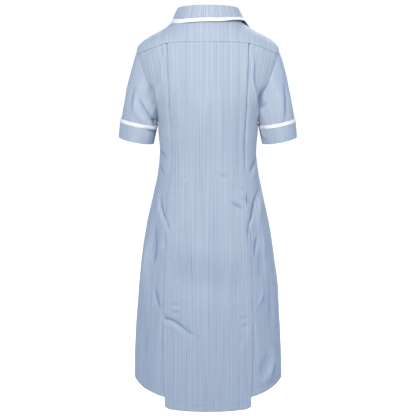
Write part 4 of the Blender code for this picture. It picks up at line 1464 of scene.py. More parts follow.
@dataclass
class SideBacks:
    """Both side backs, from under the centre back's edges to the armholes and side seams."""

    pitch: float = 0.0033
    held: Held = field(default_factory=lambda: Held(0.150, 0.930, 0.1010))

    def cloth(self, right: bool) -> Cloth:
        """One side back's cloth."""
        top = CUT.panel_top()
        down = shares(top - CUT.vent_hem, self.pitch)
        level = top + (CUT.vent_hem - top) * down
        arm_share = (top - CUT.underarm_level) / (top - CUT.vent_hem)
        seam_x = panel_seam_x(level)
        inner = FORM.bearing_at(seam_x - LAPS.under(level), level), level
        arm = CUT.armhole(CUT.yoke_end + (180 - CUT.yoke_end) * np.clip(down / arm_share, 0, 1))
        below = np.clip((down - arm_share) / (1 - arm_share), 0.0, 1.0)
        underarm = float(CUT.armhole(np.array(180.0))[1])
        side = CUT.side_seam(underarm + (CUT.side_hem - underarm) * below)
        on_arm = down <= arm_share
        outer = tuple(np.where(on_arm, arm[i], side[i]) for i in range(2))
        span = outer[0] - inner[0]
        lap = ((FORM.bearing_at(seam_x + LAPS.edge, level) - inner[0]) / span)[:, None]
        rest = shares(0.110, self.pitch)[None, :]
        under = np.linspace(0.0, 1.0, 8)[None, :-1]
        across = np.concatenate([lap * under, lap + (1 - lap) * rest], axis=1)
        slope = np.clip((across - lap) / (1 - lap), 0.0, 1.0)
        x_start = float(seam_x[0]) + LAPS.edge
        x_end = float(FORM.point(arm[0][0], arm[1][0])[0])
        x = x_start + (x_end - x_start) * slope[0]
        top_z = yoke_seam_z(x)
        top_z = top_z + smooth_step(x, x_end - 0.02, x_end) * (float(arm[1][0]) - top_z[-1])
        top_bearing = FORM.bearing_at(x, top_z)
        top_bearing[-1] = arm[0][0]
        under_count = under.shape[1]
        inner_run = np.linspace(float(inner[0][0]), float(top_bearing[under_count]), under_count + 1)
        top_bearing[: under_count + 1] = inner_run
        fade = np.clip(1 - down / arm_share, 0.0, 1.0)
        bearing = inner[0][:, None] + span[:, None] * across
        z = inner[1][:, None] + (outer[1] - inner[1])[:, None] * slope
        bearing = bearing + fade[:, None] * (top_bearing - bearing[0])
        z = z + fade[:, None] * (top_z - z[0])
        lift = LAPS.lift(bearing, z, right)
        edges = {"top": Edge.SEAM, "bottom": Edge.HEM, "right": Edge.SEAM}
        sign = -1 if right else 1
        return body_cloth(sign * bearing, z, edges, lift, middle=bearing.shape[1] // 2)

    def build(self, wardrobe: Wardrobe) -> dict[str, Cloth]:
        """Builds both and returns their cloth."""
        made = {}
        for side in ("left", "right"):
            cloth = self.cloth(side == "right")
            name, node, finish = f"side_back_cloth_{side}", f"back_side_{side}", wardrobe.striped
            place_cloth(name, cloth, finish, node, self.held)
            made[side] = cloth
        return made


@dataclass
class PleatInserts:
    """The strips that join the centre back's folded edges to the side backs beneath."""

    pitch: float = 0.0040
    held: Held = field(default_factory=lambda: Held(0.020, 0.312, 0.0060, "folded"))

    def build(self, wardrobe: Wardrobe) -> None:
        """Builds both strips."""
        top = CUT.panel_top()
        bottom = LAPS.pleat_full
        level = top + (bottom - top) * shares(top - bottom, self.pitch)
        outer = FORM.bearing_at(panel_seam_x(level) - 0.0008, level), level
        inner = FORM.bearing_at(panel_seam_x(level) - LAPS.pleat_under, level), level
        bearing, z = blend_edges(inner, outer, np.linspace(0.0, 1.0, 8)[None, :])
        for side, sign in (("left", 1), ("right", -1)):
            cloth = body_cloth(sign * bearing, z, {}, -LAPS.layer)
            cloth.wall[:] = 0.0006
            name, node, finish = f"pleat_cloth_{side}", f"back_pleat_{side}", wardrobe.striped
            place_cloth(name, cloth, finish, node, self.held)


@dataclass
class Fronts:
    """Both fronts, buttoned right over left down the middle."""

    pitch: float = 0.0040
    lap: float = 0.015
    layer: float = 0.0018
    held: Held = field(default_factory=lambda: Held(0.305, 0.985, 0.2690))

    def cloth(self, right: bool) -> Cloth:
        """One front's cloth."""
        first = CUT.neck_quarter()
        neck_low = CUT.neck_level - CUT.neck_drop
        underarm = float(CUT.armhole(np.array(180.0))[1])
        arm_share = 0.23
        down = shares(0.99, self.pitch)
        upper = np.clip(down / arm_share, 0.0, 1.0)
        below = np.clip((down - arm_share) / (1 - arm_share), 0.0, 1.0)
        on_arm = down <= arm_share
        arm = CUT.armhole(360 + CUT.shoulder_seam - (180 + CUT.shoulder_seam) * upper)
        side = CUT.side_seam(underarm + (CUT.side_hem - underarm) * below)
        outer = tuple(np.where(on_arm, arm[i], side[i]) for i in range(2))
        quarter = first + (math.pi / 2 - first) * upper
        neck_bearing, neck_z = CUT.neckline_front(quarter)
        passed = smooth_step(upper, 0.70, 1.0) * self.lap
        neck_bearing = neck_bearing + passed / FORM.half_width(neck_z)
        level = neck_low + (CUT.front_hem - neck_low) * below
        closing = math.pi + self.lap / FORM.half_width(level)
        inner = np.where(on_arm, neck_bearing, closing), np.where(on_arm, neck_z, level)
        across = shares(0.28, self.pitch)[None, :]
        top = CUT.shoulder(across[0])
        bearing, z = blend_edges(inner, outer, across, top, 1 - upper)
        apart = np.abs(FORM.point(bearing, z)[..., 0])
        near = 1 - smooth_step(apart, self.lap * 1.3, self.lap * 1.3 + 0.014)
        lift = 0.0 * near if right else -self.layer * near
        edges = {"top": Edge.SEAM, "bottom": Edge.HEM, "right": Edge.SEAM, "left": Edge.FOLDED}
        sign = -1 if right else 1
        return body_cloth(sign * bearing, z, edges, lift, middle=0)

    def build(self, wardrobe: Wardrobe) -> dict[str, Cloth]:
        """Builds both and returns their cloth."""
        made = {}
        for side in ("left", "right"):
            cloth = self.cloth(side == "right")
            name, node, finish = f"front_cloth_{side}", f"front_{side}", wardrobe.striped
            place_cloth(name, cloth, finish, node, self.held)
            made[side] = cloth
        return made


# ---- Sleeves ------------------------------------------------------------------------------
SLEEVE_CREASES_LEFT = (  # paths of (degrees round, share down)
    Crease(((58, 0.30), (82, 0.35), (110, 0.35), (136, 0.29), (160, 0.14)),
           -0.0064, 0.008, 0.5, 1.3, (0.4, 0.15)),
    Crease(((54, 0.46), (84, 0.52), (116, 0.52), (144, 0.46), (168, 0.36)),
           0.0050, 0.009, 1.0, 2.0, (0.4, 0.2)),
    Crease(((92, 0.66), (120, 0.64), (146, 0.56), (168, 0.46)), -0.0040, 0.007, 0.5, 1.4, (0.4, 0.15)),
    Crease(((52, 0.24), (56, 0.46), (66, 0.70)), -0.0036, 0.008, 0.5, 1.4),
    Crease(((60, 0.24), (66, 0.46), (78, 0.64)), 0.0024, 0.008),
    Crease(((46, 0.70), (62, 0.76), (80, 0.76)), -0.0022, 0.006, 0.7, 1.4),
    Crease(((120, 0.12), (150, 0.34), (172, 0.50)), -0.0042, 0.008, 0.5, 1.4),
    Crease(((24, 0.20), (28, 0.50), (34, 0.80)), 0.0012, 0.012),
    Crease(((250, 0.24), (232, 0.48), (208, 0.74)), -0.0026, 0.008, 0.6, 1.4),
    Crease(((286, 0.28), (276, 0.55), (262, 0.80)), -0.0018, 0.010),
    Crease(((318, 0.25), (312, 0.60), (306, 0.85)), 0.0014, 0.012),
)
SLEEVE_CREASES_RIGHT = (
    Crease(((36, 0.20), (44, 0.40), (58, 0.62), (86, 0.88)), -0.0050, 0.009, 0.5, 1.4),
    Crease(((52, 0.18), (62, 0.38), (80, 0.60), (106, 0.82)), 0.0038, 0.011),
    Crease(((134, 0.16), (112, 0.20), (92, 0.20)), -0.0034, 0.007, 0.6, 1.4),
    Crease(((156, 0.40), (142, 0.52), (126, 0.58)), -0.0034, 0.007, 0.6, 1.4),
    Crease(((164, 0.52), (148, 0.70), (126, 0.88)), 0.0036, 0.008, 0.6, 1.4),
    Crease(((172, 0.56), (158, 0.74), (140, 0.92)), -0.0040, 0.008, 0.6, 1.4),
    Crease(((20, 0.30), (24, 0.60), (22, 0.85)), 0.0012, 0.012),
    Crease(((244, 0.26), (226, 0.50), (206, 0.70)), -0.0024, 0.008, 0.6, 1.4),
    Crease(((290, 0.30), (284, 0.60), (270, 0.86)), -0.0020, 0.010),
    Crease(((322, 0.35), (314, 0.62), (312, 0.85)), 0.0014, 0.012),
)


@dataclass
class SleeveShape:
    """Where a sleeve's cloth lies between the armhole and the sleeve's hem."""

    outer: tuple[float, float, float] = (0.2400, 0.0, -0.3130)
    inner: tuple[float, float, float] = (0.1490, 0.0, -0.3310)
    half_depth: float = 0.0560
    swell: float = 0.0080
    away: float = -0.0010
    under: float = 0.0004
    tuck: float = 0.0007  # how far its seam lies below the body's edge
    joined: float = 0.40  # share down over which the body's creases die out in the sleeve
    axis: tuple[float, float, float] = (0.962, 0.0, -0.274)

    def point(self, down: Array, degrees: Array) -> Array:
        """Points at shares down, 0 at the armhole, and degrees round, as the armhole's."""
        bearing, z = CUT.armhole(np.mod(degrees + 90, 360) - 90)
        start = FORM.point(bearing, z)
        turn = np.radians(degrees)
        away = self.away + self.under * ((1 - np.cos(turn)) / 2) ** 2
        start = start + away[..., None] * np.array(self.axis)
        start = start - self.tuck * FORM.normal(bearing, z)
        outer, inner = np.array(self.outer), np.array(self.inner)
        middle, radius = (outer + inner) / 2, (outer - inner) / 2
        sideways = np.sin(turn)[..., None] * np.array((0.0, self.half_depth, 0.0))
        end = middle + np.cos(turn)[..., None] * radius + sideways
        down = np.asarray(down)
        swell = self.swell * (1 - (1 - down) ** 6) * (1 - down**4)
        outward = np.cos(turn) * 0.5 + 0.5
        direction = np.stack([outward, 0.7 * np.sin(turn), 0 * turn], axis=-1)
        return start + (end - start) * down[..., None] + swell[..., None] * direction

    def normal(self, down: Array, degrees: Array) -> Array:
        """Unit outward normals."""
        low, high = np.clip(down - 0.02, 0, 1), np.clip(down + 0.02, 0, 1)
        along = self.point(high, degrees) - self.point(low, degrees)
        across = self.point(down, degrees + 2.0) - self.point(down, degrees - 2.0)
        return unit(np.cross(along, across))

    def length(self, degrees: Array) -> Array:
        """Length from the armhole to the hem along each line round the sleeve."""
        stations = np.linspace(0.0, 1.0, 13)[:, None] + 0 * degrees
        line = self.point(stations, degrees + 0 * stations)
        return np.linalg.norm(np.diff(line, axis=0), axis=-1).sum(axis=0)

    def field(self, creases: Sequence[Crease]) -> CreaseField:
        """Creases laid on the sleeve."""
        return CreaseField(
            creases,
            lambda turn, down: self.point(down, np.degrees(turn)),
            lambda turn, down: self.normal(down, np.degrees(turn)),
        )


@dataclass
class Sleeves:
    """Both short sleeves with their turned-up cuffs and the white edging above them."""

    shape: SleeveShape = field(default_factory=SleeveShape)
    step: float = 3.0  # degrees
    pitch: float = 0.0036
    cuff_height: float = 0.043
    trim_width: float = 0.010
    seam_gap: float = 0.0002
    cuff_lift: float = 0.0017
    drape: Drape = Drape(0.0009, 0.0005, 0.00014, (0.022, 0.022, 0.060), (0.014, 0.014, 0.030), seed=61)
    sleeve_held: Held = field(default_factory=lambda: Held(0.370, 0.230, 0.0560))
    cuff_held: Held = field(default_factory=lambda: Held(0.350, 0.043, 0.0150, "folded"))
    trim_held: Held = field(default_factory=lambda: Held(0.350, 0.010, 0.0035, "folded"))

    def round_the_arm(self) -> Array:
        """Degrees of every column."""
        return np.arange(0.0, 360.0 + self.step / 2, self.step)

    def flat(self, points: Array, degrees: Array) -> Array:
        """Flat coordinates whose stripes run along the sleeve."""
        flat = flat_of(points, middle=0)
        girth = flat[points.shape[0] // 2, :, 0]
        return np.stack([np.broadcast_to(girth, flat.shape[:2]), flat[..., 1]], axis=-1)

    def build(self, wardrobe: Wardrobe, stitches: StitchRow) -> None:
        """Builds both sleeves with their cuffs and edging."""
        for side, creases in (("left", SLEEVE_CREASES_LEFT), ("right", SLEEVE_CREASES_RIGHT)):
            folds = self.shape.field(creases)
            self.sleeve(side, folds, wardrobe)
            low = self.cuff_height + self.seam_gap
            top = low + self.trim_width
            cuff = self.band(side, folds, 0.0, self.cuff_height, self.cuff_lift, 0.0010)
            trim = self.band(side, folds, low, top, self.cuff_lift + 0.0003, 0.0015)
            for name, cloth, finish, slot, node, held in (
                ("cuff_cloth", cuff, wardrobe.striped, Slot.BLUE, "cuff", self.cuff_held),
                ("cuff_edging", trim, wardrobe.edging, Slot.WHITE, "cuff_trim", self.trim_held),
            ):
                place_cloth(f"{name}_{side}", cloth, finish, f"{node}_{side}", held)
            for edge in ("top", "bottom"):
                stitches.run(*inset_line(trim, edge, 0.0011))
            stitches.run(*inset_line(cuff, "bottom", 0.0030))

    def side_of(self, side: str, cloth: Cloth) -> Cloth:
        """The cloth on its own side of the body."""
        return cloth.mirrored() if side == "right" else cloth

    def sleeve(self, side: str, folds: CreaseField, wardrobe: Wardrobe) -> None:
        """Builds one sleeve."""
        degrees = self.round_the_arm()
        share = shares(0.21, self.pitch)[:, None]
        down, round_ = share + 0 * degrees, degrees + 0 * share
        base, normal = self.shape.point(down, round_), self.shape.normal(down, round_)
        rise = folds.rise(base) + self.rise_of_drape(base, side)
        rise = rise * smooth_step(down, 0.0, 0.10)
        base = base + self.body_pull(side, round_, down)
        cloth = lay_cloth(base, normal, rise, {"top": Edge.SEAM}, middle=0, tube=True)
        cloth.flat = self.flat(base, degrees)
        own = self.side_of(side, cloth)
        name, node, finish = f"sleeve_cloth_{side}", f"sleeve_{side}", wardrobe.striped
        place_cloth(name, own, finish, node, self.sleeve_held)

    def body_pull(self, side: str, degrees: Array, down: Array) -> Array:
        """How the body's creases move the sleeve where it is sewn on."""
        bearing, z = CUT.armhole(np.mod(degrees + 90, 360) - 90)
        flip = np.array((-1.0 if side == "right" else 1.0, 1.0, 1.0))
        spot = FORM.point(bearing, z)
        rise = BODY_FIELD.rise(spot * flip) + BODY_DRAPE.rise(spot * flip)
        fading = 1 - smooth_step(down, 0.0, self.shape.joined)
        return (rise * fading)[..., None] * FORM.normal(bearing, z)

    def rise_of_drape(self, base: Array, side: str) -> Array:
        """The sleeve's soft unevenness, different on each side and one round the tube."""
        shift = np.array((0.0, 0.0, 1.7 if side == "right" else 0.0))
        return self.drape.rise(base + shift)

    def band(self, side: str, folds: CreaseField, low: float, high: float, lift: float, wall: float) -> Cloth:
        """A band round a sleeve between two heights above its hem."""
        degrees = self.round_the_arm()
        height = high - (high - low) * shares(high - low, 0.0030, (0.0006, 0.0014))[:, None]
        down = 1.0 - height / self.shape.length(degrees)
        round_ = degrees + 0 * down
        base, normal = self.shape.point(down, round_), self.shape.normal(down, round_)
        rise = lift + folds.rise(base) + self.rise_of_drape(base, side)
        cloth = lay_cloth(base, normal, rise, {}, middle=0, wall=wall, tube=True)
        away = np.minimum(height - low, high - height)
        cloth.wall = cloth.wall * (0.45 + 0.55 * smooth_step(away, 0.0, 0.0012)) + 0 * down
        cloth.flat = self.flat(base, degrees)
        return self.side_of(side, cloth)


# ---- Collar -------------------------------------------------------------------------------
@dataclass(frozen=True)
class CollarPlace:
    """The collar at one place round the neck."""

    along: float  # 0 at the centre back, 1 at the centre front
    rise: float  # of its fold above the neckline
    bearing: float  # degrees, of its outer edge
    z: float  # of its outer edge
    lift: float  # of its outer edge off the form


COLLAR = (
    CollarPlace(0.00, 0.0345, 0.0, -0.0080, 0.0055),
    CollarPlace(0.22, 0.0325, 42.0, -0.0095, 0.0045),
    CollarPlace(0.43, 0.0255, 88.0, -0.0125, 0.0024),
    CollarPlace(0.65, 0.0150, 140.0, -0.0560, 0.0030),
    CollarPlace(0.85, 0.0080, 158.0, -0.1020, 0.0032),
    CollarPlace(1.00, 0.0060, 163.0, -0.1250, 0.0034),
)


@dataclass
class Collar:
    """The turned-down collar and the white edging round its fall."""

    shoulder_along: float = 0.43
    end: float = 0.965
    half_length: float = 0.13
    roll: float = 0.0021
    stand_start: float = 0.0016
    edging_width: float = 0.010
    steps: int = 74
    right_lift: float = 0.0050  # how much the right of the collar stands off the back
    right_spread: float = 0.0060  # how far its edge stands out over the right shoulder
    left_drop: float = 0.0040  # how much lower its edge is on the left
    held: Held = field(default_factory=lambda: Held(0.470, 0.090, 0.0330, "folded"))
    edging_held: Held = field(default_factory=lambda: Held(0.900, 0.010, 0.0090, "folded"))

    def __post_init__(self) -> None:
        """Makes the smooth curves of its table."""
        self.rise = curve_of(COLLAR, "along", "rise")
        self.edge_bearing = curve_of(COLLAR, "along", "bearing")
        self.edge_z = curve_of(COLLAR, "along", "z")
        self.edge_lift = curve_of(COLLAR, "along", "lift")

    def neckline(self, along: Array) -> tuple[Array, Array]:
        """The neckline from the centre back, 0, to the centre front, 1."""
        behind = np.clip(along / self.shoulder_along, 0.0, 1.0) * math.pi / 2
        ahead = (along - self.shoulder_along) / (1 - self.shoulder_along)
        back = CUT.neckline_back(behind * 0.9999)
        front = CUT.neckline_front(np.clip(ahead, 0.0, 1.0) * math.pi / 2)
        in_front = along > self.shoulder_along
        return np.where(in_front, front[0], back[0]), np.where(in_front, front[1], back[1])

    def seam(self, along: Array) -> tuple[Array, Array]:
        """The neck seam and the level outward direction there."""
        bearing, z = self.neckline(along)
        return FORM.point(bearing, z), unit(FORM.normal(bearing, z) * (1.0, 1.0, 0.0))

    def stand(self, along: Array, up: Array) -> Array:
        """The stand, from the neck seam, 0, to the start of the roll, 1."""
        seam, _ = self.seam(along)
        height = self.stand_start + (self.rise(along) - self.roll - self.stand_start) * up
        return seam + height[..., None] * np.array((0.0, 0.0, 1.0))

    def turn_over(self, along: Array, turn: Array) -> Array:
        """The roll over the top, from the stand, 0, to the fall, pi."""
        seam, outward = self.seam(along)
        up = self.rise(along) - self.roll + self.roll * np.sin(turn)
        out = self.roll * (1 - np.cos(turn))
        return seam + out[..., None] * outward + up[..., None] * np.array((0.0, 0.0, 1.0))

    def fall(self, along: Array, down: Array) -> Array:
        """The fall, from the roll, 0, to the outer edge, 1."""
        bearing, z = self.neckline(along)
        _, outward = self.seam(along)
        edge = np.radians(self.edge_bearing(along))
        place = bearing + (edge - bearing) * down
        height = z + (self.edge_z(along) - z) * down
        raised = (self.rise(along) - self.roll) * (1 - down)
        rolled = 2 * self.roll * (1 - down)
        out = self.edge_lift(along) * down
        point = FORM.point(place, height) + out[..., None] * FORM.normal(place, height)
        up = raised[..., None] * np.array((0.0, 0.0, 1.0))
        return point + up + rolled[..., None] * outward

    def fall_length(self, along: Array) -> Array:
        """Length of the fall at places along the collar."""
        return np.linalg.norm(self.fall(along, 1 + 0 * along) - self.fall(along, 0 * along), axis=-1)

    def off_the_shoulder(self, points: Array, along: Array, down: Array) -> Array:
        """The whole collar from its left half, with its right half lifted off the shoulder."""
        right = points * np.array((-1.0, 1.0, 1.0))
        raised = self.right_lift * np.exp(-(((along - 0.24) / 0.10) ** 2)) * down**2
        spread = self.right_spread * np.exp(-(((along - 0.37) / 0.09) ** 2)) * down**2
        lowered = self.left_drop * np.exp(-(((along - 0.30) / 0.14) ** 2)) * down**2
        upward = np.array((0.0, 0.0, 1.0))
        outward = unit(right * (1.0, 1.0, 0.0)) + 0.35 * upward
        right = right + raised[..., None] * upward + spread[..., None] * outward
        left = points - lowered[..., None] * upward
        return np.concatenate([right[:, :0:-1], left], axis=1)

    def both(self, grid: Array) -> Array:
        """A grid's values carried on to the other side."""
        return np.concatenate([grid[:, :0:-1], grid], axis=1)

    def cloth_of(
        self, points: Array, wall: float, edges: dict[str, Edge], rise: Array, grain: Array
    ) -> Cloth:
        """Cloth on a grid of the collar, its outer side away from the stand."""
        across, down = np.gradient(points, axis=1), np.gradient(points, axis=0)
        normal = -unit(np.cross(down, across))
        cloth = lay_cloth(points, normal, rise, edges, wall=wall)
        cloth.flat = grain
        return cloth

    def collar_cloth(self) -> Cloth:
        """The stand, the roll and the fall as far as the edging."""
        inset = self.edging_width / self.half_length
        along = np.linspace(0.0, self.end - inset, self.steps)[None, :]
        low = 1 - (self.edging_width + 0.0002) / self.fall_length(along)
        up = np.linspace(0.0, 1.0, 8)[:, None] + 0 * along
        turn = np.linspace(0.0, math.pi, 9)[1:-1, None] + 0 * along
        down = shares(0.03, 0.0030, (0.0008, 0.0018))[:, None] * low
        points = np.concatenate(
            [
                self.stand(along + 0 * up, up),
                self.turn_over(along + 0 * turn, turn),
                self.fall(along + 0 * down, down),
            ]
        )
        sunk = np.concatenate([0 * up, 0 * turn, down])
        whole = self.off_the_shoulder(points, along + 0 * sunk, sunk)
        rise = 0.0004 * soft_noise(whole, (0.022, 0.022, 0.014), 71)
        edges = {"bottom": Edge.SEAM}
        grain = flat_of(whole)
        girth = grain[-1, :, 0] * 0.8
        grain = np.stack([np.broadcast_to(girth, grain.shape[:2]), grain[..., 1]], axis=-1)
        return self.cloth_of(whole, 0.0010, edges, rise, grain)

    def edging_cloth(self) -> Cloth:
        """White edging along the outer edge and up both front ends."""
        inset = self.edging_width / self.half_length
        inner_end = self.end - inset + 0.0002 / self.half_length
        outer_along = np.linspace(0.0, self.end, self.steps)
        inner_along = np.linspace(0.0, inner_end, self.steps)
        rising = np.linspace(1.0, 0.04, 18)[1:]
        inner_low = float(1 - self.edging_width / self.fall_length(np.array([inner_end]))[0])
        outer = (
            np.concatenate([outer_along, 0 * rising + self.end]),
            np.concatenate([0 * outer_along + 1.0, rising]),
        )
        inner = (
            np.concatenate([inner_along, 0 * rising + inner_end]),
            np.concatenate(
                [1 - self.edging_width / self.fall_length(inner_along), np.minimum(rising, inner_low)]
            ),
        )
        share = np.array((0.0, 0.06, 0.2, 0.5, 0.8, 0.94, 1.0))[:, None]
        along = inner[0] + (outer[0] - inner[0]) * share
        down = inner[1] + (outer[1] - inner[1]) * share
        whole = self.off_the_shoulder(self.fall(along, down), along, down)
        rise = 0.0002 + 0.0004 * soft_noise(whole, (0.022, 0.022, 0.014), 71)
        cloth = self.cloth_of(whole, 0.0016, {}, rise, flat_of(whole))
        cloth.wall = cloth.wall * (0.5 + 0.5 * np.sin(math.pi * np.clip(share * 4, 0, 0.5)))
        cloth.wall = cloth.wall * (0.6 + 0.4 * np.sin(math.pi * np.clip((1 - share) * 4, 0, 0.5)))
        return cloth

    def build(self, wardrobe: Wardrobe, stitches: StitchRow) -> None:
        """Builds the collar and its edging."""
        collar, edging = self.collar_cloth(), self.edging_cloth()
        for name, cloth, finish, slot, node, held, rests in (
            ("collar_cloth", collar, wardrobe.striped, Slot.BLUE, "collar", self.held, "yoke_cloth"),
            (
                "collar_edging", edging, wardrobe.edging, Slot.WHITE, "collar_trim",
                self.edging_held, "collar_cloth",
            ),
        ):
            place_cloth(name, cloth, finish, node, held)
        stitches.run(*inset_line(edging, "top", 0.0010))


# ---- Buttons ------------------------------------------------------------------------------
@dataclass
class Buttons:
    """Eight four-hole buttons down the closing, each sewn on with two bars of thread."""

    count: int = 8
    radius: float = 0.0070
    segments: int = 48
    hole_radius: float = 0.00085
    hole_spread: float = 0.00165
    profile: tuple[tuple[float, float], ...] = (  # radius, height
        (0.0000, 0.00045),
        (0.0030, 0.00045),
        (0.0042, 0.00075),
        (0.0052, 0.00120),
        (0.0061, 0.00128),
        (0.0067, 0.00100),
        (0.0070, 0.00040),
        (0.0070, -0.00030),
        (0.0066, -0.00090),
        (0.0058, -0.00120),
        (0.0000, -0.00130),
    )
    hole_sides: int = 14
    hole_depth: float = 0.006
    thread_lift: float = 0.00062
    thread_reach: float = 1.15  # of the way from the middle to a hole
    thread_apart: float = 0.0003  # of each thread from its row's middle

    def mesh(self) -> bpy.types.Mesh:
        """One button, with its holes."""
        bm = bmesh.new()
        turns = np.linspace(0.0, math.tau, self.segments, endpoint=False)
        rings = []
        for radius, height in self.profile:
            if radius == 0:
                rings.append([bm.verts.new((0.0, 0.0, height))])
                continue
            rings.append([bm.verts.new((radius * math.cos(t), radius * math.sin(t), height)) for t in turns])
        for first, second in itertools.pairwise(rings):
            for k in range(self.segments):
                after = (k + 1) % self.segments
                corners = [first[k % len(first)], first[after % len(first)]]
                corners += [second[after % len(second)], second[k % len(second)]]
                bm.faces.new(list(dict.fromkeys(corners)))
        bmesh.ops.recalc_face_normals(bm, faces=bm.faces)
        body = self.object_of(bm, "button_blank")
        drill = bmesh.new()
        for x, y in itertools.product((-1, 1), repeat=2):
            made = bmesh.ops.create_cone(
                drill,
                cap_ends=True,
                segments=self.hole_sides,
                radius1=self.hole_radius,
                radius2=self.hole_radius,
                depth=self.hole_depth,
            )
            shift = Vector((x * self.hole_spread, y * self.hole_spread, 0.0))
            bmesh.ops.translate(drill, verts=made["verts"], vec=shift)
        cutter = self.object_of(drill, "button_drill")
        cut = body.modifiers.new("holes", "BOOLEAN")
        cut.object, cut.operation, cut.solver = cutter, "DIFFERENCE", "EXACT"
        bpy.context.view_layer.update()
        finished = bpy.data.meshes.new_from_object(body.evaluated_get(bpy.context.evaluated_depsgraph_get()))
        finished.name = "button"
        for helper in (body, cutter):
            bpy.data.objects.remove(helper, do_unlink=True)
        finished.polygons.foreach_set("use_smooth", np.ones(len(finished.polygons), bool))
        finished.set_sharp_from_angle(angle=math.radians(40))
        return finished

    @staticmethod
    def object_of(bm: bmesh.types.BMesh, name: str) -> bpy.types.Object:
        """A helper object of a mesh."""
        mesh = bpy.data.meshes.new(name)
        bm.to_mesh(mesh)
        bm.free()
        helper = bpy.data.objects.new(name, mesh)
        bpy.context.scene.collection.objects.link(helper)
        return helper

    def build(self, wardrobe: Wardrobe) -> None:
        """Sews every button on where its solid is."""
        pattern = self.mesh()
        thread = StitchRow("button_thread", wardrobe, StitchSize(0.0034, 0.0, 0.00075, 0.00035, 0.0))
        for number in range(1, self.count + 1):
            low, high = (np.array(side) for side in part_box(f"button_{number}"))
            middle = (low + high) / 2
            normal = FORM.normal(np.array(math.pi), np.array(middle[2]))
            tilt = math.pi / 2 - math.atan2(normal[2], -normal[1])
            mesh = pattern.copy()
            name = f"sewn_button_{number}"
            mesh.name = name
            piece = place_piece(name, mesh, wardrobe.button, [f"button_{number}"])
            piece.location, piece.rotation_euler = Vector(middle), (tilt, 0.0, 0.0)
            up = np.array((0.0, -normal[2], normal[1]))
            up = -up if up[2] < 0 else up
            for x in (-self.hole_spread, self.hole_spread):
                across = np.array((x, 0.0, 0.0))
                over = middle + across + normal * self.thread_lift
                reach = up * self.hole_spread * self.thread_reach
                for shift in (-self.thread_apart, self.thread_apart):
                    thread.sew(over - reach + (shift, 0, 0), over + reach + (shift, 0, 0), normal)
        thread.place()


# ---- Studio -------------------------------------------------------------------------------
WHITE = (1.0, 1.0, 1.0, 1.0)


@dataclass(frozen=True)
class Lamp:
    """A soft square lamp."""

    name: str
    place: tuple[float, float, float]
    size: float
    power: float
    aim: tuple[float, float, float]


LAMPS = (
    Lamp("key_light", (0.66, 1.60, 0.62), 0.45, 25.5, (0.0, 0.0, -0.34)),
    Lamp("side_fill", (-1.15, 1.15, 0.45), 0.60, 11.0, (-0.2, 0.0, -0.12)),
    Lamp("front_key", (-0.60, -1.90, 1.20), 0.7, 47.0, (0.0, 0.0, -0.51)),
)


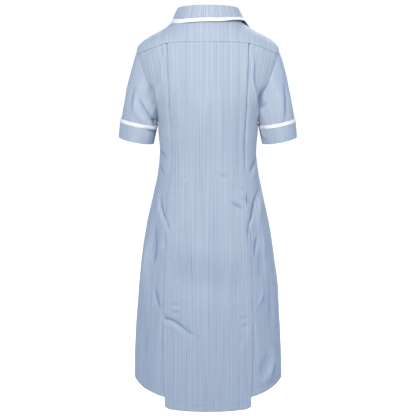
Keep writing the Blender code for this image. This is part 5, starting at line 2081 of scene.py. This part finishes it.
@dataclass
class Studio:
    """A pale floor, soft lights and the camera."""

    azimuth: float = 180.0
    elevation: float = 10.9
    distance: float = 2.70
    aim: tuple[float, float, float] = (0.0, 0.0, -0.51)
    lens: float = 84.9
    sensor: float = 36.0
    floor_z: float = -1.50
    floor_radius: float = 40.0
    floor_color: tuple[float, float, float, float] = (0.86, 0.86, 0.87, 1.0)
    floor_roughness: float = 0.9
    floor_glow: float = 0.80
    sky: float = 0.52
    sky_color: tuple[float, float, float, float] = (0.62, 0.87, 1.20, 1.0)
    key_color: tuple[float, float, float] = (1.0, 0.90, 0.70)

    def camera(self) -> None:
        """Puts the camera behind the wearer."""
        data = bpy.data.cameras.new("camera")
        data.lens, data.sensor_width, data.clip_end = self.lens, self.sensor, 100.0
        camera = bpy.data.objects.new("camera", data)
        bpy.context.scene.collection.objects.link(camera)
        rise, turn = math.radians(self.elevation), math.radians(self.azimuth)
        away = Vector((math.sin(turn) * math.cos(rise), -math.cos(turn) * math.cos(rise), math.sin(rise)))
        camera.location = Vector(self.aim) + self.distance * away
        camera.rotation_euler = (-away).to_track_quat("-Z", "Y").to_euler()
        bpy.context.scene.camera = camera

    def light(self, lamp: Lamp) -> None:
        """Hangs a lamp and aims it at the dress."""
        data = bpy.data.lights.new(lamp.name, "AREA")
        data.shape, data.size, data.energy, data.color = "SQUARE", lamp.size, lamp.power, self.key_color
        hung = bpy.data.objects.new(lamp.name, data)
        bpy.context.scene.collection.objects.link(hung)
        hung.location = lamp.place
        hung.rotation_euler = (Vector(lamp.aim) - Vector(lamp.place)).to_track_quat("-Z", "Y").to_euler()

    def floor(self) -> None:
        """A wide pale floor below the hem."""
        bm = bmesh.new()
        bmesh.ops.create_circle(bm, cap_ends=True, segments=96, radius=self.floor_radius)
        mesh = bpy.data.meshes.new("floor")
        bm.to_mesh(mesh)
        bm.free()
        material, desk, shader = new_finish("pale_floor")
        shader.inputs["Base Color"].default_value = self.floor_color
        shader.inputs["Roughness"].default_value = self.floor_roughness
        shader.inputs["Emission Color"].default_value = WHITE
        seen = desk.add("ShaderNodeLightPath").outputs["Is Camera Ray"]
        desk.feed(shader.inputs["Emission Strength"], desk.math("MULTIPLY", seen, self.floor_glow))
        mesh.materials.append(material)
        floor = bpy.data.objects.new("floor", mesh)
        floor.location = (0.0, 0.0, self.floor_z)
        bpy.context.scene.collection.objects.link(floor)

    def world(self) -> None:
        """Even pale light from all round."""
        world = bpy.data.worlds.new("studio_air")
        world.use_nodes = True
        desk = NodeDesk(world.node_tree)
        seen = desk.add("ShaderNodeLightPath").outputs["Is Camera Ray"]
        background = world.node_tree.nodes["Background"]
        desk.feed(background.inputs["Color"], desk.mix(seen, self.sky_color, WHITE))
        strength = desk.math("MULTIPLY_ADD", seen, 1.0 - self.sky, self.sky)
        desk.feed(background.inputs["Strength"], strength)
        bpy.context.scene.world = world

    def build(self) -> None:
        """Sets up the studio."""
        self.camera()
        self.world()
        self.floor()
        for lamp in LAMPS:
            self.light(lamp)
        bpy.context.scene.view_settings.view_transform = "Standard"


YOKE_STITCH = 0.005  # below the yoke's seam
CLOSING_STITCHES = ((0.0030, 0.24), (0.0270, 0.26))  # from the edge, and the share where each starts


def sew_body_stitches(
    stitches: StitchRow, centre: Cloth, sides: dict[str, Cloth], fronts: dict[str, Cloth]
) -> None:
    """Topstitching below the yoke, at the hems and down the closing.

    Args:
        stitches: The row to sew into.
        centre: The centre back.
        sides: Both side backs.
        fronts: Both fronts.
    """
    hem = EDGES.hem_width
    stitches.run(*inset_line(centre, "top", YOKE_STITCH))
    stitches.run(*inset_line(centre, "bottom", hem))
    for cloth in sides.values():
        stitches.run(*inset_line(cloth, "top", YOKE_STITCH, 0.16))
        stitches.run(*inset_line(cloth, "bottom", hem))
    for cloth in fronts.values():
        stitches.run(*inset_line(cloth, "bottom", hem))
    for away, start in CLOSING_STITCHES:
        stitches.run(*inset_line(fronts["right"], "left", away, start))


def main() -> None:
    """Builds the dress and the studio."""
    logging.basicConfig(level=logging.INFO, format="%(message)s")
    Studio().build()
    wardrobe = Wardrobe.open()
    stitches = StitchRow("machine_stitches", wardrobe)
    BackYoke().build(wardrobe)
    centre = CentreBack().build(wardrobe)
    sides = SideBacks().build(wardrobe)
    PleatInserts().build(wardrobe)
    fronts = Fronts().build(wardrobe)
    Sleeves().build(wardrobe, stitches)
    Collar().build(wardrobe, stitches)
    Buttons().build(wardrobe)
    sew_body_stitches(stitches, centre, sides, fronts)
    stitches.place()


if __name__ == "__main__":
    main()
